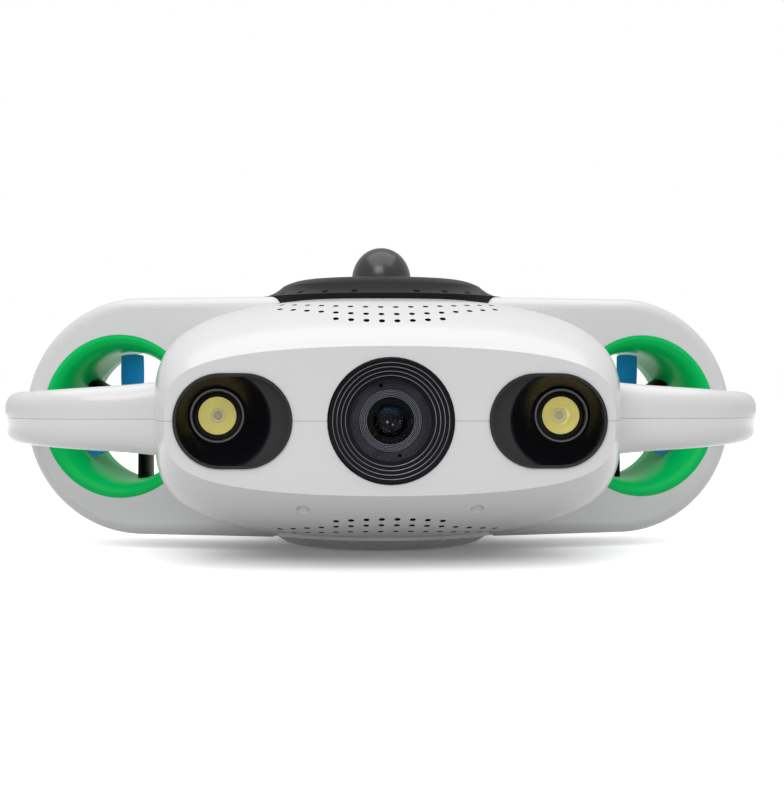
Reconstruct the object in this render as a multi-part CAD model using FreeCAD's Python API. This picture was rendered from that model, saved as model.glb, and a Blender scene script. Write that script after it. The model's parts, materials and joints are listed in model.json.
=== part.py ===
import FreeCAD, Part
import math
import os

# Underwater inspection ROV: a flooded two-shell hull that carries a dry electronics
# housing, a front camera port, two lamps, two ducted side thrusters and one vertical thruster.
# Millimetres. X to the right, front faces -Y, Z up. The origin is the centre of the flat
# underside, on the axis of the vertical thruster. Pieces are modelled about the parting
# plane (Z = 0) and lifted by SEAM_HEIGHT when they are written.

V = FreeCAD.Vector
X_AXIS = V(1, 0, 0)
Y_AXIS = V(0, 1, 0)
Z_AXIS = V(0, 0, 1)
CENTRE = V(0, 0, 0)

# --- Hull ---------------------------------------------------------------------------
BODY_LENGTH = 318.0        # nose face to tail face
NOSE_OFFSET = 143.0        # nose face ahead of the vertical thruster axis
HEAD_HALF_WIDTH = 127.0    # widest section of the central body
HULL_HALF_HEIGHT = 71.0    # parting plane to crown
HULL_WALL = 3.0
SEAM_HEIGHT = HULL_HALF_HEIGHT + 7.0    # parting plane above the flat underside
NACELLE_RADIUS = 70.5      # rounded outer end of each side nacelle
NACELLE_REACH = 215.0      # centre plane to the outermost point of a nacelle
NACELLE_FRONT_ROUND = 7.0
NACELLE_REAR_ROUND = 14.0

# Sections of the central body: share of length, of half width and of half height, and
# how far the section's shoulders fill their corners.
STATIONS = (
    (0.000, 0.934, 0.556, 0.95),
    (0.050, 0.978, 0.722, 1.00),
    (0.113, 1.000, 0.853, 1.05),
    (0.220, 0.950, 0.960, 1.08),
    (0.346, 0.830, 0.990, 1.05),
    (0.450, 0.780, 1.000, 1.00),
    (0.629, 0.700, 0.945, 0.95),
    (0.818, 0.560, 0.760, 0.90),
    (1.000, 0.340, 0.420, 0.80),
)

# --- Fits ---------------------------------------------------------------------------
SEAT_GAP = 0.15            # loose assembly fit between fixed pieces
RUNNING_GAP = 0.05         # radial clearance of a shaft in its bearing
TIP_GAP = 1.2              # propeller tip to duct wall

# --- Side ducts ---------------------------------------------------------------------
DUCT_INBOARD = 58.0        # outermost point of the nacelle to the rim's centre
DUCT_X = NACELLE_REACH - DUCT_INBOARD
DUCT_RIM_Y = -22.0
DUCT_TOE = 15.0            # degrees, intakes face outwards
DUCT_LENGTH = 62.0
DUCT_BORE = 38.5           # radius at the propeller
DUCT_FLARE = 7.8           # how much the bell mouth opens at the rim
DUCT_MOUTH = DUCT_BORE + DUCT_FLARE
DUCT_WALL = 6.3            # bore to sleeve, in line with the rim
DUCT_SLEEVE = DUCT_BORE + DUCT_WALL
DUCT_RIM_WIDTH = 2.2
DUCT_FLANGE = DUCT_MOUTH + DUCT_RIM_WIDTH
DUCT_FLANGE_DEPTH = 2.0
BELL_DEPTH = 24.0
EXIT_FLARE = 1.5

# --- Vertical duct ------------------------------------------------------------------
COVER_SEAT_DROP = 5.0      # flat cover seats below the crown of the hull
COVER_SEAT_Z = HULL_HALF_HEIGHT - COVER_SEAT_DROP
VERTICAL_WALL = 3.5
VERTICAL_SLEEVE = DUCT_BORE + VERTICAL_WALL
VERTICAL_MOUTH_FLARE = 2.0

# --- Thrusters ----------------------------------------------------------------------
PROP_START = 13.0          # hub front behind the intake rim
HUB_LENGTH = 17.0
HUB_RADIUS = 10.5
BLADES = 3
BLADE_ROOT_CHORD = 27.0
BLADE_TIP_CHORD = 19.0
BLADE_THICKNESS = 2.4
ROOT_PITCH = 46.0          # degrees from the plane of rotation
TIP_PITCH = 24.0
POD_RADIUS = 13.0
POD_LENGTH = 26.0
POD_WALL = 1.6
POD_GAP = 1.0              # hub to pod, axial
STRUT_CHORD = 22.0
STRUT_THICKNESS = 6.6
SHAFT_RADIUS = 2.5
BEARING_RADIUS = 5.5
BEARING_WIDTH = 4.0
ROTOR_RADIUS = 6.4
AIR_GAP = 0.5
TAIL_CAP_LENGTH = 9.0
NUT_RADIUS = 6.5
NUT_LENGTH = 7.0
NOSE_RADIUS = 9.5

# --- Grips --------------------------------------------------------------------------
GRIP_ROOT_HEIGHT = 42.6
GRIP_TIP_HEIGHT = 29.6
GRIP_THICKNESS = 20.0
GRIP_TAIL_THICKNESS = 11.0
GRIP_REACH = NACELLE_REACH - 4.5    # centre line of the bar at its outer end
GRIP_FRONT_Y = -84.0       # centre line of the bar at its root
GRIP_BEND = 46.0           # centre line radius where the bar turns back
GRIP_FULLNESS = 0.82       # how far the bar's section fills its corners
GRIP_TAIL = 26.0           # how far the bar runs past the intake rim
GRIP_TUCK = 5.0            # how far the bar's tail turns in to the nacelle
GRIP_SINK = 14.0           # how far the bar's root runs into the head
GRIP_STATION_PITCH = 24.0
GRIP_RELIEF = 1.2          # gap between the bar and the intake flange

# --- Camera port --------------------------------------------------------------------
PORT_RADIUS = 33.5
PORT_FACE = 2.6            # flat front of the ring
BAFFLES = 4
BAFFLE_WIDTH = 2.25
BAFFLE_STEP = 1.5
PORT_PROUD = 1.2
PORT_DEPTH = 12.0
WINDOW_RADIUS = 22.4
WINDOW_LIP = 0.8
WINDOW_THICKNESS = 3.0
WINDOW_DEPTH = 5.6         # front of the window behind the nose face
RETAINER_WIDTH = 5.4
RETAINER_INNER = WINDOW_RADIUS - RETAINER_WIDTH
RETAINER_DEPTH = 2.0
SPANNER_HOLE_RADIUS = 1.1
BARREL_RADIUS = 12.6
BARREL_LENGTH = 26.0
BARREL_RING_STEP = 1.1
BARREL_GAP = 0.3           # window to barrel
LENS_RADIUS = 9.0
LENS_THICKNESS = 4.0
LENS_RECESS = 1.5
BOARD_DEPTH = WINDOW_DEPTH + WINDOW_THICKNESS + BARREL_GAP + BARREL_LENGTH
BOARD_THICKNESS = 1.6
BOARD_PILLAR = 2.5
SENSOR_SIDE = 8.0

# --- Lamps --------------------------------------------------------------------------
LAMP_LENGTH = 62.4
LAMP_HEIGHT = 50.0
LAMP_X = HEAD_HALF_WIDTH - 44.0    # centre of the slot-shaped bezel
LAMP_PROUD = 1.0
LAMP_RIM = 1.6
LAMP_SHELF_DEPTH = 2.0
LAMP_WELL_DEPTH = 18.0
LAMP_WELL_MOUTH = 26.4
LAMP_WELL_FLOOR = 14.1
LAMP_WINDOW_RADIUS = 15.5
LAMP_WINDOW_THICKNESS = 2.0
LAMP_FLOOR = LAMP_WELL_DEPTH + LAMP_WINDOW_THICKNESS
LAMP_OFFSET_X = 2.8        # reflector outboard of the bezel's outer end centre
LAMP_OFFSET_Z = 2.5
REFLECTOR_RADIUS = 10.1
REFLECTOR_DEPTH = 6.5
EMITTER_RADIUS = 3.2

# --- Covers -------------------------------------------------------------------------
COVER_RADIUS = 76.8
COVER_WALL = 2.4
COVER_RIM_Z = HULL_HALF_HEIGHT
COVER_SHOULDER_RADIUS = 60.0
COVER_SHOULDER_Z = COVER_RIM_Z + 7.2
COVER_CROWN_RADIUS = 48.0
COVER_CROWN_Z = COVER_RIM_Z + 11.0
FLANK_HOLE_RADIUS = 1.85
FLANK_HOLE_PITCH = 15.0    # degrees
FLANK_HOLE_CIRCLE = (COVER_RADIUS + COVER_SHOULDER_RADIUS) / 2 + 0.6
GRILLE_SLOTS = 18
GRILLE_INNER = 25.0
GRILLE_OUTER = COVER_CROWN_RADIUS - 4.0
GRILLE_SLOT_WIDTH = 4.6
DOME_RADIUS = 18.1
DOME_HEIGHT = 20.4
DOME_TOP_Z = COVER_CROWN_Z + DOME_HEIGHT
UNDER_CROWN_Z = SEAM_HEIGHT    # the underside cover, measured below the parting plane
UNDER_SHOULDER_Z = UNDER_CROWN_Z - 2.5
UNDER_RIM_Z = UNDER_CROWN_Z - 8.5

# --- Inside the tail ----------------------------------------------------------------
HOUSING_RADIUS = 34.0
HOUSING_LENGTH = 88.0
HOUSING_SETBACK = 31.0     # housing end to the tail face
HOUSING_WALL = 3.0
SOCKET_RADIUS = 9.0
SOCKET_BORE = 6.0
SOCKET_DEPTH = 12.0
SOCKET_FLANGE = 13.0
SOCKET_FLANGE_DEPTH = 3.0
SEAL_DEPTH = 1.8
SEAL_INNER = HOUSING_RADIUS - HOUSING_WALL - SEAL_DEPTH
LID_THICKNESS = 5.0
HOUSING_FRONT_Y = BODY_LENGTH - NOSE_OFFSET - HOUSING_SETBACK - HOUSING_LENGTH
RIB_THICKNESS = 3.0
BATTERY_LENGTH = 0.75 * HOUSING_LENGTH
BATTERY_HEIGHT = 0.7 * HOUSING_RADIUS
BOARD_WIDTH = 1.35 * HOUSING_RADIUS

# --- Hull screws --------------------------------------------------------------------
BOSS_RADIUS = 5.0
SCREW_RADIUS = 2.0
SCREW_SEAT = 0.535 * HULL_HALF_HEIGHT    # head seat below the parting plane
SCREW_GRIP = 14.0          # thread above the parting plane
HEAD_RADIUS = 3.5
HEAD_HEIGHT = 4.0


# --- Small helpers ------------------------------------------------------------------
def cylinder(radius, start, end):
    """Round bar between two points."""
    axis = end.sub(start)
    return Part.makeCylinder(radius, axis.Length, start, axis)


def tube(outer, inner, start, end):
    """Round tube between two points; the bore runs past both ends."""
    run = end.sub(start).normalize()
    return cylinder(outer, start, end).cut(cylinder(inner, start.sub(run), end.add(run)))


def revolve(points, start=CENTRE, axis=Z_AXIS):
    """Solid of revolution about local Z from (radius, height) points joined by lines."""
    corners = [V(radius, 0, height) for radius, height in points]
    wire = Part.makePolygon(corners + corners[:1])
    solid = Part.Face(wire).revolve(CENTRE, Z_AXIS, 360)
    solid.Placement = FreeCAD.Placement(start, FreeCAD.Rotation(Z_AXIS, axis))
    return solid


def fuse_all(shapes):
    """One solid from touching or overlapping solids."""
    joined = shapes[0].fuse(shapes[1:])
    return joined.removeSplitter()


def mirrored(shape):
    """The same piece for the other side of the vehicle."""
    return shape.mirror(CENTRE, X_AXIS)


def flipped(shape):
    """The same piece below the parting plane."""
    return shape.mirror(CENTRE, Z_AXIS)


# --- Hull ---------------------------------------------------------------------------
def arch_wire(middle, across, half_width, half_height, fullness):
    """Upper half of a squared oval about a point, closed along the parting plane.

    A fifth-degree curve with these poles leaves the plane upright and passes the crown.
    """
    pole_z = half_height * 32 / (20 + 10 * fullness)
    rises = ((1.0, 0.0), (1.0, fullness * pole_z), (fullness, pole_z))
    right = [middle.add(across * (half_width * share)).add(V(0, 0, z)) for share, z in rises]
    left = [middle.sub(across * (half_width * share)).add(V(0, 0, z)) for share, z in rises]
    arch = Part.BezierCurve()
    arch.setPoles(right + left[::-1])
    return Part.Wire([arch.toShape(), Part.makeLine(left[0], right[0])])


def half_section(station, inset):
    """Upper half of one section of the central body."""
    share, width_share, height_share, fullness = station
    y = share * BODY_LENGTH - NOSE_OFFSET
    if share == 0.0:
        y += inset
    if share == 1.0:
        y -= inset
    half_width = HEAD_HALF_WIDTH * width_share - inset
    half_height = HULL_HALF_HEIGHT * height_share - inset
    return arch_wire(V(0, y, 0), X_AXIS, half_width, half_height, fullness)


def central_body(inset):
    """Upper half of the fish-shaped central body."""
    return Part.makeLoft([half_section(station, inset) for station in STATIONS], True)


def duct_axis():
    """Unit vector down the right side duct, from intake to exit."""
    toe = math.radians(DUCT_TOE)
    return V(-math.sin(toe), math.cos(toe), 0)


def duct_point(distance):
    """Point on the right duct's axis, measured from the intake rim."""
    return V(DUCT_X, DUCT_RIM_Y, 0).add(duct_axis() * distance)


def behind_plane(point, normal, reach):
    """Block that fills the side of a plane that its normal points to."""
    block = Part.makeBox(2 * reach, 2 * reach, reach, V(-reach, -reach, 0))
    block.Placement = FreeCAD.Placement(point, FreeCAD.Rotation(Z_AXIS, normal))
    return block


def outline_edges(shape, point, normal):
    """Edges in a plane, apart from those on the parting plane or the centre plane."""
    found = []
    for edge in shape.Edges:
        middle = edge.valueAt((edge.FirstParameter + edge.LastParameter) / 2)
        ends = [vertex.Point for vertex in edge.Vertexes] + [middle]
        in_plane = all(abs(end.sub(point).dot(normal)) < 0.01 for end in ends)
        outer = middle.z > 0.1 and middle.x > 0.1
        if in_plane and outer:
            found.append(edge)
    return found


def nacelle(inset):
    """Upper half of the right nacelle: a slot-ended slab, toed out with its duct."""
    radius = NACELLE_RADIUS - inset
    end_x = NACELLE_REACH - NACELLE_RADIUS
    reach = 2 * NACELLE_REACH
    arc = Part.Arc(V(end_x + radius, -reach, 0),
                   V(end_x + radius / math.sqrt(2), -reach, radius / math.sqrt(2)),
                   V(end_x, -reach, radius)).toShape()
    path = Part.makePolygon([V(end_x, -reach, radius), V(0, -reach, radius),
                             V(0, -reach, 0), V(end_x + radius, -reach, 0)])
    slab = Part.Face(Part.Wire([arc] + path.Edges)).extrude(V(0, 2 * reach, 0))
    axis = duct_axis()
    front = duct_point(inset)
    rear = duct_point(DUCT_LENGTH - inset)
    slab = slab.cut([behind_plane(front, axis * -1, reach), behind_plane(rear, axis, reach)])
    slab = slab.makeFillet(NACELLE_REAR_ROUND - inset, outline_edges(slab, rear, axis))
    return slab.makeFillet(NACELLE_FRONT_ROUND - inset, outline_edges(slab, front, axis))


def half_hull(inset):
    """Upper half of the whole hull as one solid."""
    right = nacelle(inset)
    return central_body(inset).fuse([right, mirrored(right)])


# --- Side duct liner ----------------------------------------------------------------
def along_duct(shape, distance=0.0):
    """Move a piece from the thruster frame (intake rim at 0, exit up +Z) to the right duct."""
    turn = FreeCAD.Rotation(CENTRE, Z_AXIS, duct_axis(), "ZYX")
    moved = shape.copy()
    moved.Placement = FreeCAD.Placement(duct_point(distance), turn).multiply(shape.Placement)
    return moved


def revolve_wire(edges):
    """Solid of revolution about local Z from a closed chain of edges in the XZ plane."""
    return Part.Face(Part.Wire(edges)).revolve(CENTRE, Z_AXIS, 360)


def duct_liner():
    """Bell-mouthed sleeve with a front flange and a flared exit, in the thruster frame."""
    flare = DUCT_MOUTH - DUCT_BORE
    mouth = Part.BezierCurve()
    mouth.setPoles([V(DUCT_MOUTH, 0, 0), V(DUCT_BORE + 0.25 * flare, 0, 0.1 * BELL_DEPTH),
                    V(DUCT_BORE, 0, 0.5 * BELL_DEPTH), V(DUCT_BORE, 0, BELL_DEPTH)])
    flare_start = 0.8 * DUCT_LENGTH
    outline = Part.makePolygon([
        V(DUCT_BORE, 0, BELL_DEPTH), V(DUCT_BORE, 0, flare_start),
        V(DUCT_BORE + EXIT_FLARE, 0, DUCT_LENGTH), V(DUCT_SLEEVE, 0, DUCT_LENGTH),
        V(DUCT_SLEEVE, 0, DUCT_FLANGE_DEPTH), V(DUCT_FLANGE, 0, DUCT_FLANGE_DEPTH),
        V(DUCT_FLANGE, 0, 0), V(DUCT_MOUTH, 0, 0)])
    return revolve_wire([mouth.toShape()] + outline.Edges)


def vertical_liner():
    """Straight sleeve between the two covers, in the vertical thruster's frame."""
    length = 2 * COVER_SEAT_Z
    bore = DUCT_BORE
    mouth = bore + VERTICAL_MOUTH_FLARE
    flare_depth = 4 * VERTICAL_MOUTH_FLARE
    return revolve([(mouth, 0), (bore, flare_depth), (bore, length - flare_depth),
                    (mouth, length), (VERTICAL_SLEEVE, length), (VERTICAL_SLEEVE, 0)])


# --- Thruster pieces, in the thruster frame -----------------------------------------
POD_START = PROP_START + HUB_LENGTH + POD_GAP
POD_END = POD_START + POD_LENGTH
SHAFT_START = PROP_START - 4.0
POD_BORE = POD_RADIUS - POD_WALL


def at(distance):
    return V(0, 0, distance)


def motor_mount():
    """Motor pod with a front bearing wall, carried by three streamlined struts."""
    pod = cylinder(POD_RADIUS, at(POD_START), at(POD_END))
    chord_middle = POD_START + POD_LENGTH / 2
    profile = Part.Ellipse(CENTRE, STRUT_CHORD / 2, STRUT_THICKNESS / 2).toShape()
    face = Part.Face(Part.Wire([profile]))
    strut = face.extrude(at(DUCT_BORE + 1.0))
    strut.Placement = FreeCAD.Placement(at(chord_middle), FreeCAD.Rotation(Y_AXIS, -90))
    struts = []
    for index in range(BLADES):
        arm = strut.copy()
        arm.rotate(CENTRE, Z_AXIS, -90 + 360 * index / BLADES)
        struts.append(arm)
    spider = pod.fuse(struts)
    spider = spider.common(cylinder(DUCT_BORE, at(POD_START - 5), at(POD_END + 5)))
    chamber = cylinder(POD_BORE, at(POD_START + BEARING_WIDTH), at(POD_END + 1))
    seat = cylinder(BEARING_RADIUS, at(POD_START - 1), at(POD_END))
    return spider.cut([chamber, seat]).removeSplitter()


def tail_cap():
    """Domed rear cover of the pod; its spigot carries the rear bearing."""
    dome = Part.makeSphere(POD_RADIUS, CENTRE)
    stretch = FreeCAD.Matrix()
    stretch.scale(1, 1, TAIL_CAP_LENGTH / POD_RADIUS)
    dome = dome.transformGeometry(stretch)
    dome.translate(at(POD_END))
    dome = dome.common(cylinder(POD_RADIUS, at(POD_END), at(POD_END + TAIL_CAP_LENGTH)))
    spigot = cylinder(POD_BORE, at(POD_END - BEARING_WIDTH), at(POD_END + 0.5))
    bearing_seat = cylinder(BEARING_RADIUS, at(POD_END - 2 * BEARING_WIDTH), at(POD_END))
    shaft_room = cylinder(SHAFT_RADIUS + 0.5, at(POD_END - 1), at(POD_END + 3))
    return dome.fuse(spigot).cut([bearing_seat, shaft_room]).removeSplitter()


def bearings():
    """The two shaft bearings, one in each end of the pod."""
    bore = SHAFT_RADIUS + RUNNING_GAP
    front = tube(BEARING_RADIUS, bore, at(POD_START), at(POD_START + BEARING_WIDTH))
    rear = tube(BEARING_RADIUS, bore, at(POD_END - BEARING_WIDTH), at(POD_END))
    return Part.makeCompound([front, rear])


def stator():
    """Wound ring pressed into the pod between the bearings."""
    start = POD_START + BEARING_WIDTH
    end = POD_END - BEARING_WIDTH
    ring = tube(POD_BORE, ROTOR_RADIUS + AIR_GAP, at(start), at(end))
    slots = []
    for index in range(6):
        slot = Part.makeBox(POD_BORE - ROTOR_RADIUS - 2.5, 1.6, end - start,
                            V(ROTOR_RADIUS, -0.8, start))
        slot.rotate(CENTRE, Z_AXIS, 60 * index)
        slots.append(slot)
    return ring.cut(slots)


def rotor():
    """Magnet ring pressed on the shaft."""
    start = POD_START + BEARING_WIDTH + 1.0
    end = POD_END - BEARING_WIDTH - 1.0
    return tube(ROTOR_RADIUS, SHAFT_RADIUS, at(start), at(end))


def shaft():
    """Round shaft from the propeller nut to the rear bearing."""
    return cylinder(SHAFT_RADIUS, at(SHAFT_START), at(POD_END))


def blade_section(radius, chord, pitch, thickness):
    """Curved lens-shaped blade section, square to the blade at a radius along X."""
    angle = math.radians(pitch)
    camber = 0.06 * chord
    half = chord / 2

    def place(along, rise):
        across = along * math.cos(angle) - rise * math.sin(angle)
        back = along * math.sin(angle) + rise * math.cos(angle)
        return V(radius, across, back)

    nose = place(-half, 0)
    tail = place(half, 0)
    upper = Part.Arc(nose, place(0, camber + thickness / 2), tail).toShape()
    lower = Part.Arc(tail, place(0, camber - thickness / 2), nose).toShape()
    return Part.Wire([upper, lower])


def propeller():
    """Hub with three twisted blades, bored for the shaft."""
    tip = DUCT_BORE - TIP_GAP
    root = HUB_RADIUS - 3.0
    middle = PROP_START + HUB_LENGTH / 2
    stations = []
    for share in (0.0, 0.3, 0.65, 1.0):
        radius = root + share * (tip + 1.0 - root)
        swell = math.sin(math.pi * min(share + 0.15, 1.0)) * 0.12
        chord = BLADE_ROOT_CHORD + share * (BLADE_TIP_CHORD - BLADE_ROOT_CHORD)
        pitch = ROOT_PITCH + share * (TIP_PITCH - ROOT_PITCH)
        thickness = BLADE_THICKNESS * (1.3 - 0.6 * share)
        stations.append(blade_section(radius, chord * (1 + swell), pitch, thickness))
    blade = Part.makeLoft(stations, True)
    blade.translate(at(middle))
    blades = []
    for index in range(BLADES):
        copy = blade.copy()
        copy.rotate(CENTRE, Z_AXIS, 90 + 360 * index / BLADES)
        blades.append(copy)
    hub = cylinder(HUB_RADIUS, at(PROP_START), at(PROP_START + HUB_LENGTH))
    wheel = hub.fuse(blades)
    envelope = cylinder(tip, at(PROP_START), at(PROP_START + HUB_LENGTH))
    bore = cylinder(SHAFT_RADIUS, at(PROP_START - 1), at(PROP_START + HUB_LENGTH + 1))
    return wheel.common(envelope).cut(bore).removeSplitter()


def nose_nut():
    """Rounded cap nut that holds the propeller on its shaft."""
    nose = Part.makeSphere(NOSE_RADIUS, CENTRE)
    stretch = FreeCAD.Matrix()
    stretch.scale(1, 1, NUT_LENGTH / NOSE_RADIUS)
    nose = nose.transformGeometry(stretch)
    nose.translate(at(PROP_START))
    nose = nose.common(cylinder(NOSE_RADIUS, at(PROP_START - NUT_LENGTH), at(PROP_START)))
    return nose.cut(cylinder(SHAFT_RADIUS, at(SHAFT_START), at(PROP_START + 1)))


THRUSTER_PIECES = {
    "motor_mount": motor_mount,
    "motor_tail_cap": tail_cap,
    "motor_bearings": bearings,
    "motor_stator": stator,
    "motor_rotor": rotor,
    "motor_shaft": shaft,
    "propeller": propeller,
    "propeller_nut": nose_nut,
}


# --- Grips --------------------------------------------------------------------------
def grip_stations():
    """Centre, direction across and taper of each section of the right grip."""
    bend_start_x = GRIP_REACH - GRIP_BEND
    root_x = HEAD_HALF_WIDTH - GRIP_SINK
    straight = bend_start_x - root_x
    steps = max(2, round(straight / GRIP_STATION_PITCH))
    stations = []
    for step in range(steps + 1):
        x = root_x + straight * step / steps
        stations.append((V(x, GRIP_FRONT_Y, 0), Y_AXIS * -1))
    for degrees in (30, 60, 90):
        angle = math.radians(degrees)
        x = bend_start_x + GRIP_BEND * math.sin(angle)
        y = GRIP_FRONT_Y + GRIP_BEND * (1 - math.cos(angle))
        stations.append((V(x, y, 0), V(math.sin(angle), -math.cos(angle), 0)))
    bend_end_y = GRIP_FRONT_Y + GRIP_BEND
    tail_y = DUCT_RIM_Y + GRIP_TAIL
    stations.append((V(GRIP_REACH - GRIP_TUCK / 4, (bend_end_y + tail_y) / 2, 0), X_AXIS))
    stations.append((V(GRIP_REACH - GRIP_TUCK, tail_y, 0), X_AXIS))
    tapered = 0.94 * (GRIP_REACH - root_x)
    return [(middle, across, min(1.0, (middle.x - root_x) / tapered))
            for middle, across in stations]


def grip_half():
    """Upper half of the right grip, before it is trimmed to the hull."""
    stations = grip_stations()
    last = len(stations) - 1
    wires = []
    for index, (middle, across, taper) in enumerate(stations):
        height = GRIP_ROOT_HEIGHT + taper * (GRIP_TIP_HEIGHT - GRIP_ROOT_HEIGHT)
        thinning = max(0.0, (index - last + 2) / 2)
        thickness = GRIP_THICKNESS + thinning * (GRIP_TAIL_THICKNESS - GRIP_THICKNESS)
        wires.append(arch_wire(middle, across, thickness / 2, height / 2, GRIP_FULLNESS))
    return Part.makeLoft(wires, True)


def trimmed_grip():
    """The right grip's upper half, cut to the hull with a relief over the intake flange."""
    relief = along_duct(cylinder(DUCT_FLANGE + SEAT_GAP, at(-GRIP_RELIEF), at(GRIP_RELIEF)))
    upper = half_hull(0)
    return grip_half().cut([upper.fuse(flipped(upper)), relief])


# --- Camera port, in a frame with its origin on the nose face and +Z into the hull ----
def into_nose(shape, x=0.0, z=0.0):
    """Move a piece from the nose frame to the vehicle."""
    turn = FreeCAD.Rotation(X_AXIS, CENTRE, Y_AXIS, "ZXY")
    moved = shape.copy()
    moved.Placement = FreeCAD.Placement(V(x, -NOSE_OFFSET, z), turn).multiply(shape.Placement)
    return moved


def port_bezel():
    """Black ring with stepped baffles in front of the camera window."""
    profile = [(PORT_RADIUS, PORT_DEPTH), (PORT_RADIUS, 0.8 - PORT_PROUD),
               (PORT_RADIUS - 0.8, -PORT_PROUD)]
    depth = -PORT_PROUD
    for index in range(BAFFLES):
        radius = PORT_RADIUS - PORT_FACE - index * BAFFLE_WIDTH
        profile.append((radius, depth))
        depth += BAFFLE_STEP
        profile.append((radius, depth))
    lip = WINDOW_RADIUS - WINDOW_LIP
    profile.append((lip, depth))
    profile.append((lip, WINDOW_DEPTH))
    profile.append((WINDOW_RADIUS + SEAT_GAP, WINDOW_DEPTH))
    profile.append((WINDOW_RADIUS + SEAT_GAP, PORT_DEPTH))
    return revolve(profile)


def port_window():
    return cylinder(WINDOW_RADIUS, at(WINDOW_DEPTH), at(WINDOW_DEPTH + WINDOW_THICKNESS))


def lens_retainer():
    """Grey ring behind the window, with two holes for a pin spanner."""
    start = WINDOW_DEPTH + WINDOW_THICKNESS
    ring = tube(WINDOW_RADIUS, RETAINER_INNER, at(start), at(start + RETAINER_DEPTH))
    holes = []
    for degrees in (75, 255):
        hole = cylinder(SPANNER_HOLE_RADIUS, at(start - 1), at(start + RETAINER_DEPTH + 1))
        hole.translate(V((WINDOW_RADIUS - WINDOW_LIP + RETAINER_INNER) / 2, 0, 0))
        hole.rotate(CENTRE, Z_AXIS, degrees)
        holes.append(hole)
    return ring.cut(holes)


def lens_barrel():
    """Stepped barrel that holds the front lens."""
    start = WINDOW_DEPTH + WINDOW_THICKNESS + BARREL_GAP
    profile = [(RETAINER_INNER, start + BARREL_LENGTH)]
    radius = RETAINER_INNER
    depth = start
    while radius > BARREL_RADIUS + 0.1:
        profile.append((radius, depth))
        radius -= BARREL_RING_STEP
        profile.append((radius, depth))
        depth += 1.2
    seat = LENS_RADIUS + SEAT_GAP
    front = start + LENS_RECESS
    profile += [(BARREL_RADIUS, depth), (BARREL_RADIUS, front), (seat, front),
                (seat, front + LENS_THICKNESS), (LENS_RADIUS - 2, front + LENS_THICKNESS),
                (LENS_RADIUS - 2, start + BARREL_LENGTH)]
    return revolve(profile)


def front_lens():
    """Plano-convex front lens, seated in the barrel."""
    start = WINDOW_DEPTH + WINDOW_THICKNESS + BARREL_GAP + LENS_RECESS
    blank = cylinder(LENS_RADIUS, at(start), at(start + LENS_THICKNESS))
    ball = Part.makeSphere(2 * LENS_RADIUS, at(start + 2 * LENS_RADIUS))
    return blank.common(ball)


def camera_board():
    """Round circuit board with the image sensor, behind the barrel."""
    board = cylinder(WINDOW_RADIUS - 1, at(BOARD_DEPTH), at(BOARD_DEPTH + BOARD_THICKNESS))
    corner = V(-SENSOR_SIDE / 2, -SENSOR_SIDE / 2, BOARD_DEPTH - BOARD_THICKNESS)
    sensor = Part.makeBox(SENSOR_SIDE, SENSOR_SIDE, BOARD_THICKNESS, corner)
    return board.fuse(sensor)


def camera_housing():
    """Closed cup behind the port bezel, with four board pillars on its floor."""
    floor = BOARD_DEPTH + BOARD_THICKNESS + BOARD_PILLAR
    outer = WINDOW_RADIUS + SEAT_GAP + HULL_WALL
    cup = cylinder(outer, at(PORT_DEPTH), at(floor + HULL_WALL))
    flange = cylinder(PORT_RADIUS - 2, at(PORT_DEPTH), at(PORT_DEPTH + HULL_WALL))
    hollow = cylinder(WINDOW_RADIUS + SEAT_GAP, at(PORT_DEPTH - 1), at(floor))
    cup = cup.fuse(flange).cut(hollow)
    pillars = []
    for index in range(4):
        pillar = cylinder(2.0, at(floor - BOARD_PILLAR), at(floor + 0.5))
        pillar.translate(V(WINDOW_RADIUS - 5, 0, 0))
        pillar.rotate(CENTRE, Z_AXIS, 45 + 90 * index)
        pillars.append(pillar)
    return cup.fuse(pillars).removeSplitter()


# --- Lamps, in the nose frame (X right, Y up, +Z into the hull) ----------------------
def slot_prism(length, height, start, end):
    """Slot-shaped bar along local Z."""
    radius = height / 2
    half = (length - height) / 2
    wire = Part.Wire([
        Part.makeLine(V(-half, -radius, start), V(half, -radius, start)),
        Part.Arc(V(half, -radius, start), V(half + radius, 0, start),
                 V(half, radius, start)).toShape(),
        Part.makeLine(V(half, radius, start), V(-half, radius, start)),
        Part.Arc(V(-half, radius, start), V(-half - radius, 0, start),
                 V(-half, -radius, start)).toShape()])
    return Part.Face(wire).extrude(at(end - start))


def lamp_outer_end():
    """Centre of the bezel's outer end arc, from the bezel's middle."""
    return (LAMP_LENGTH - LAMP_HEIGHT) / 2


def reflector_centre(depth):
    return V(lamp_outer_end() + LAMP_OFFSET_X, -LAMP_OFFSET_Z, depth)


def lamp_bezel():
    """Slot-shaped black bezel: a shallow shelf with a tapered round well at its outer end."""
    rim = LAMP_RIM
    bezel = slot_prism(LAMP_LENGTH, LAMP_HEIGHT, -LAMP_PROUD, LAMP_FLOOR)
    inner_length = LAMP_LENGTH - 2 * rim
    inner_height = LAMP_HEIGHT - 2 * rim
    shelf = slot_prism(inner_length, inner_height, -LAMP_PROUD - 1, LAMP_SHELF_DEPTH)
    limit = slot_prism(inner_length, inner_height, 0, LAMP_FLOOR + 1)
    mouth_centre = V(lamp_outer_end(), 0, LAMP_SHELF_DEPTH)
    mouth = Part.Wire(Part.makeCircle(LAMP_WELL_MOUTH, mouth_centre))
    floor = Part.Wire(Part.makeCircle(LAMP_WELL_FLOOR, reflector_centre(LAMP_WELL_DEPTH)))
    well = Part.makeLoft([mouth, floor], True, True).common(limit)
    seat = cylinder(LAMP_WINDOW_RADIUS, reflector_centre(LAMP_WELL_DEPTH),
                    reflector_centre(LAMP_FLOOR + 1))
    return bezel.cut([shelf, well, seat]).removeSplitter()


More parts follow.
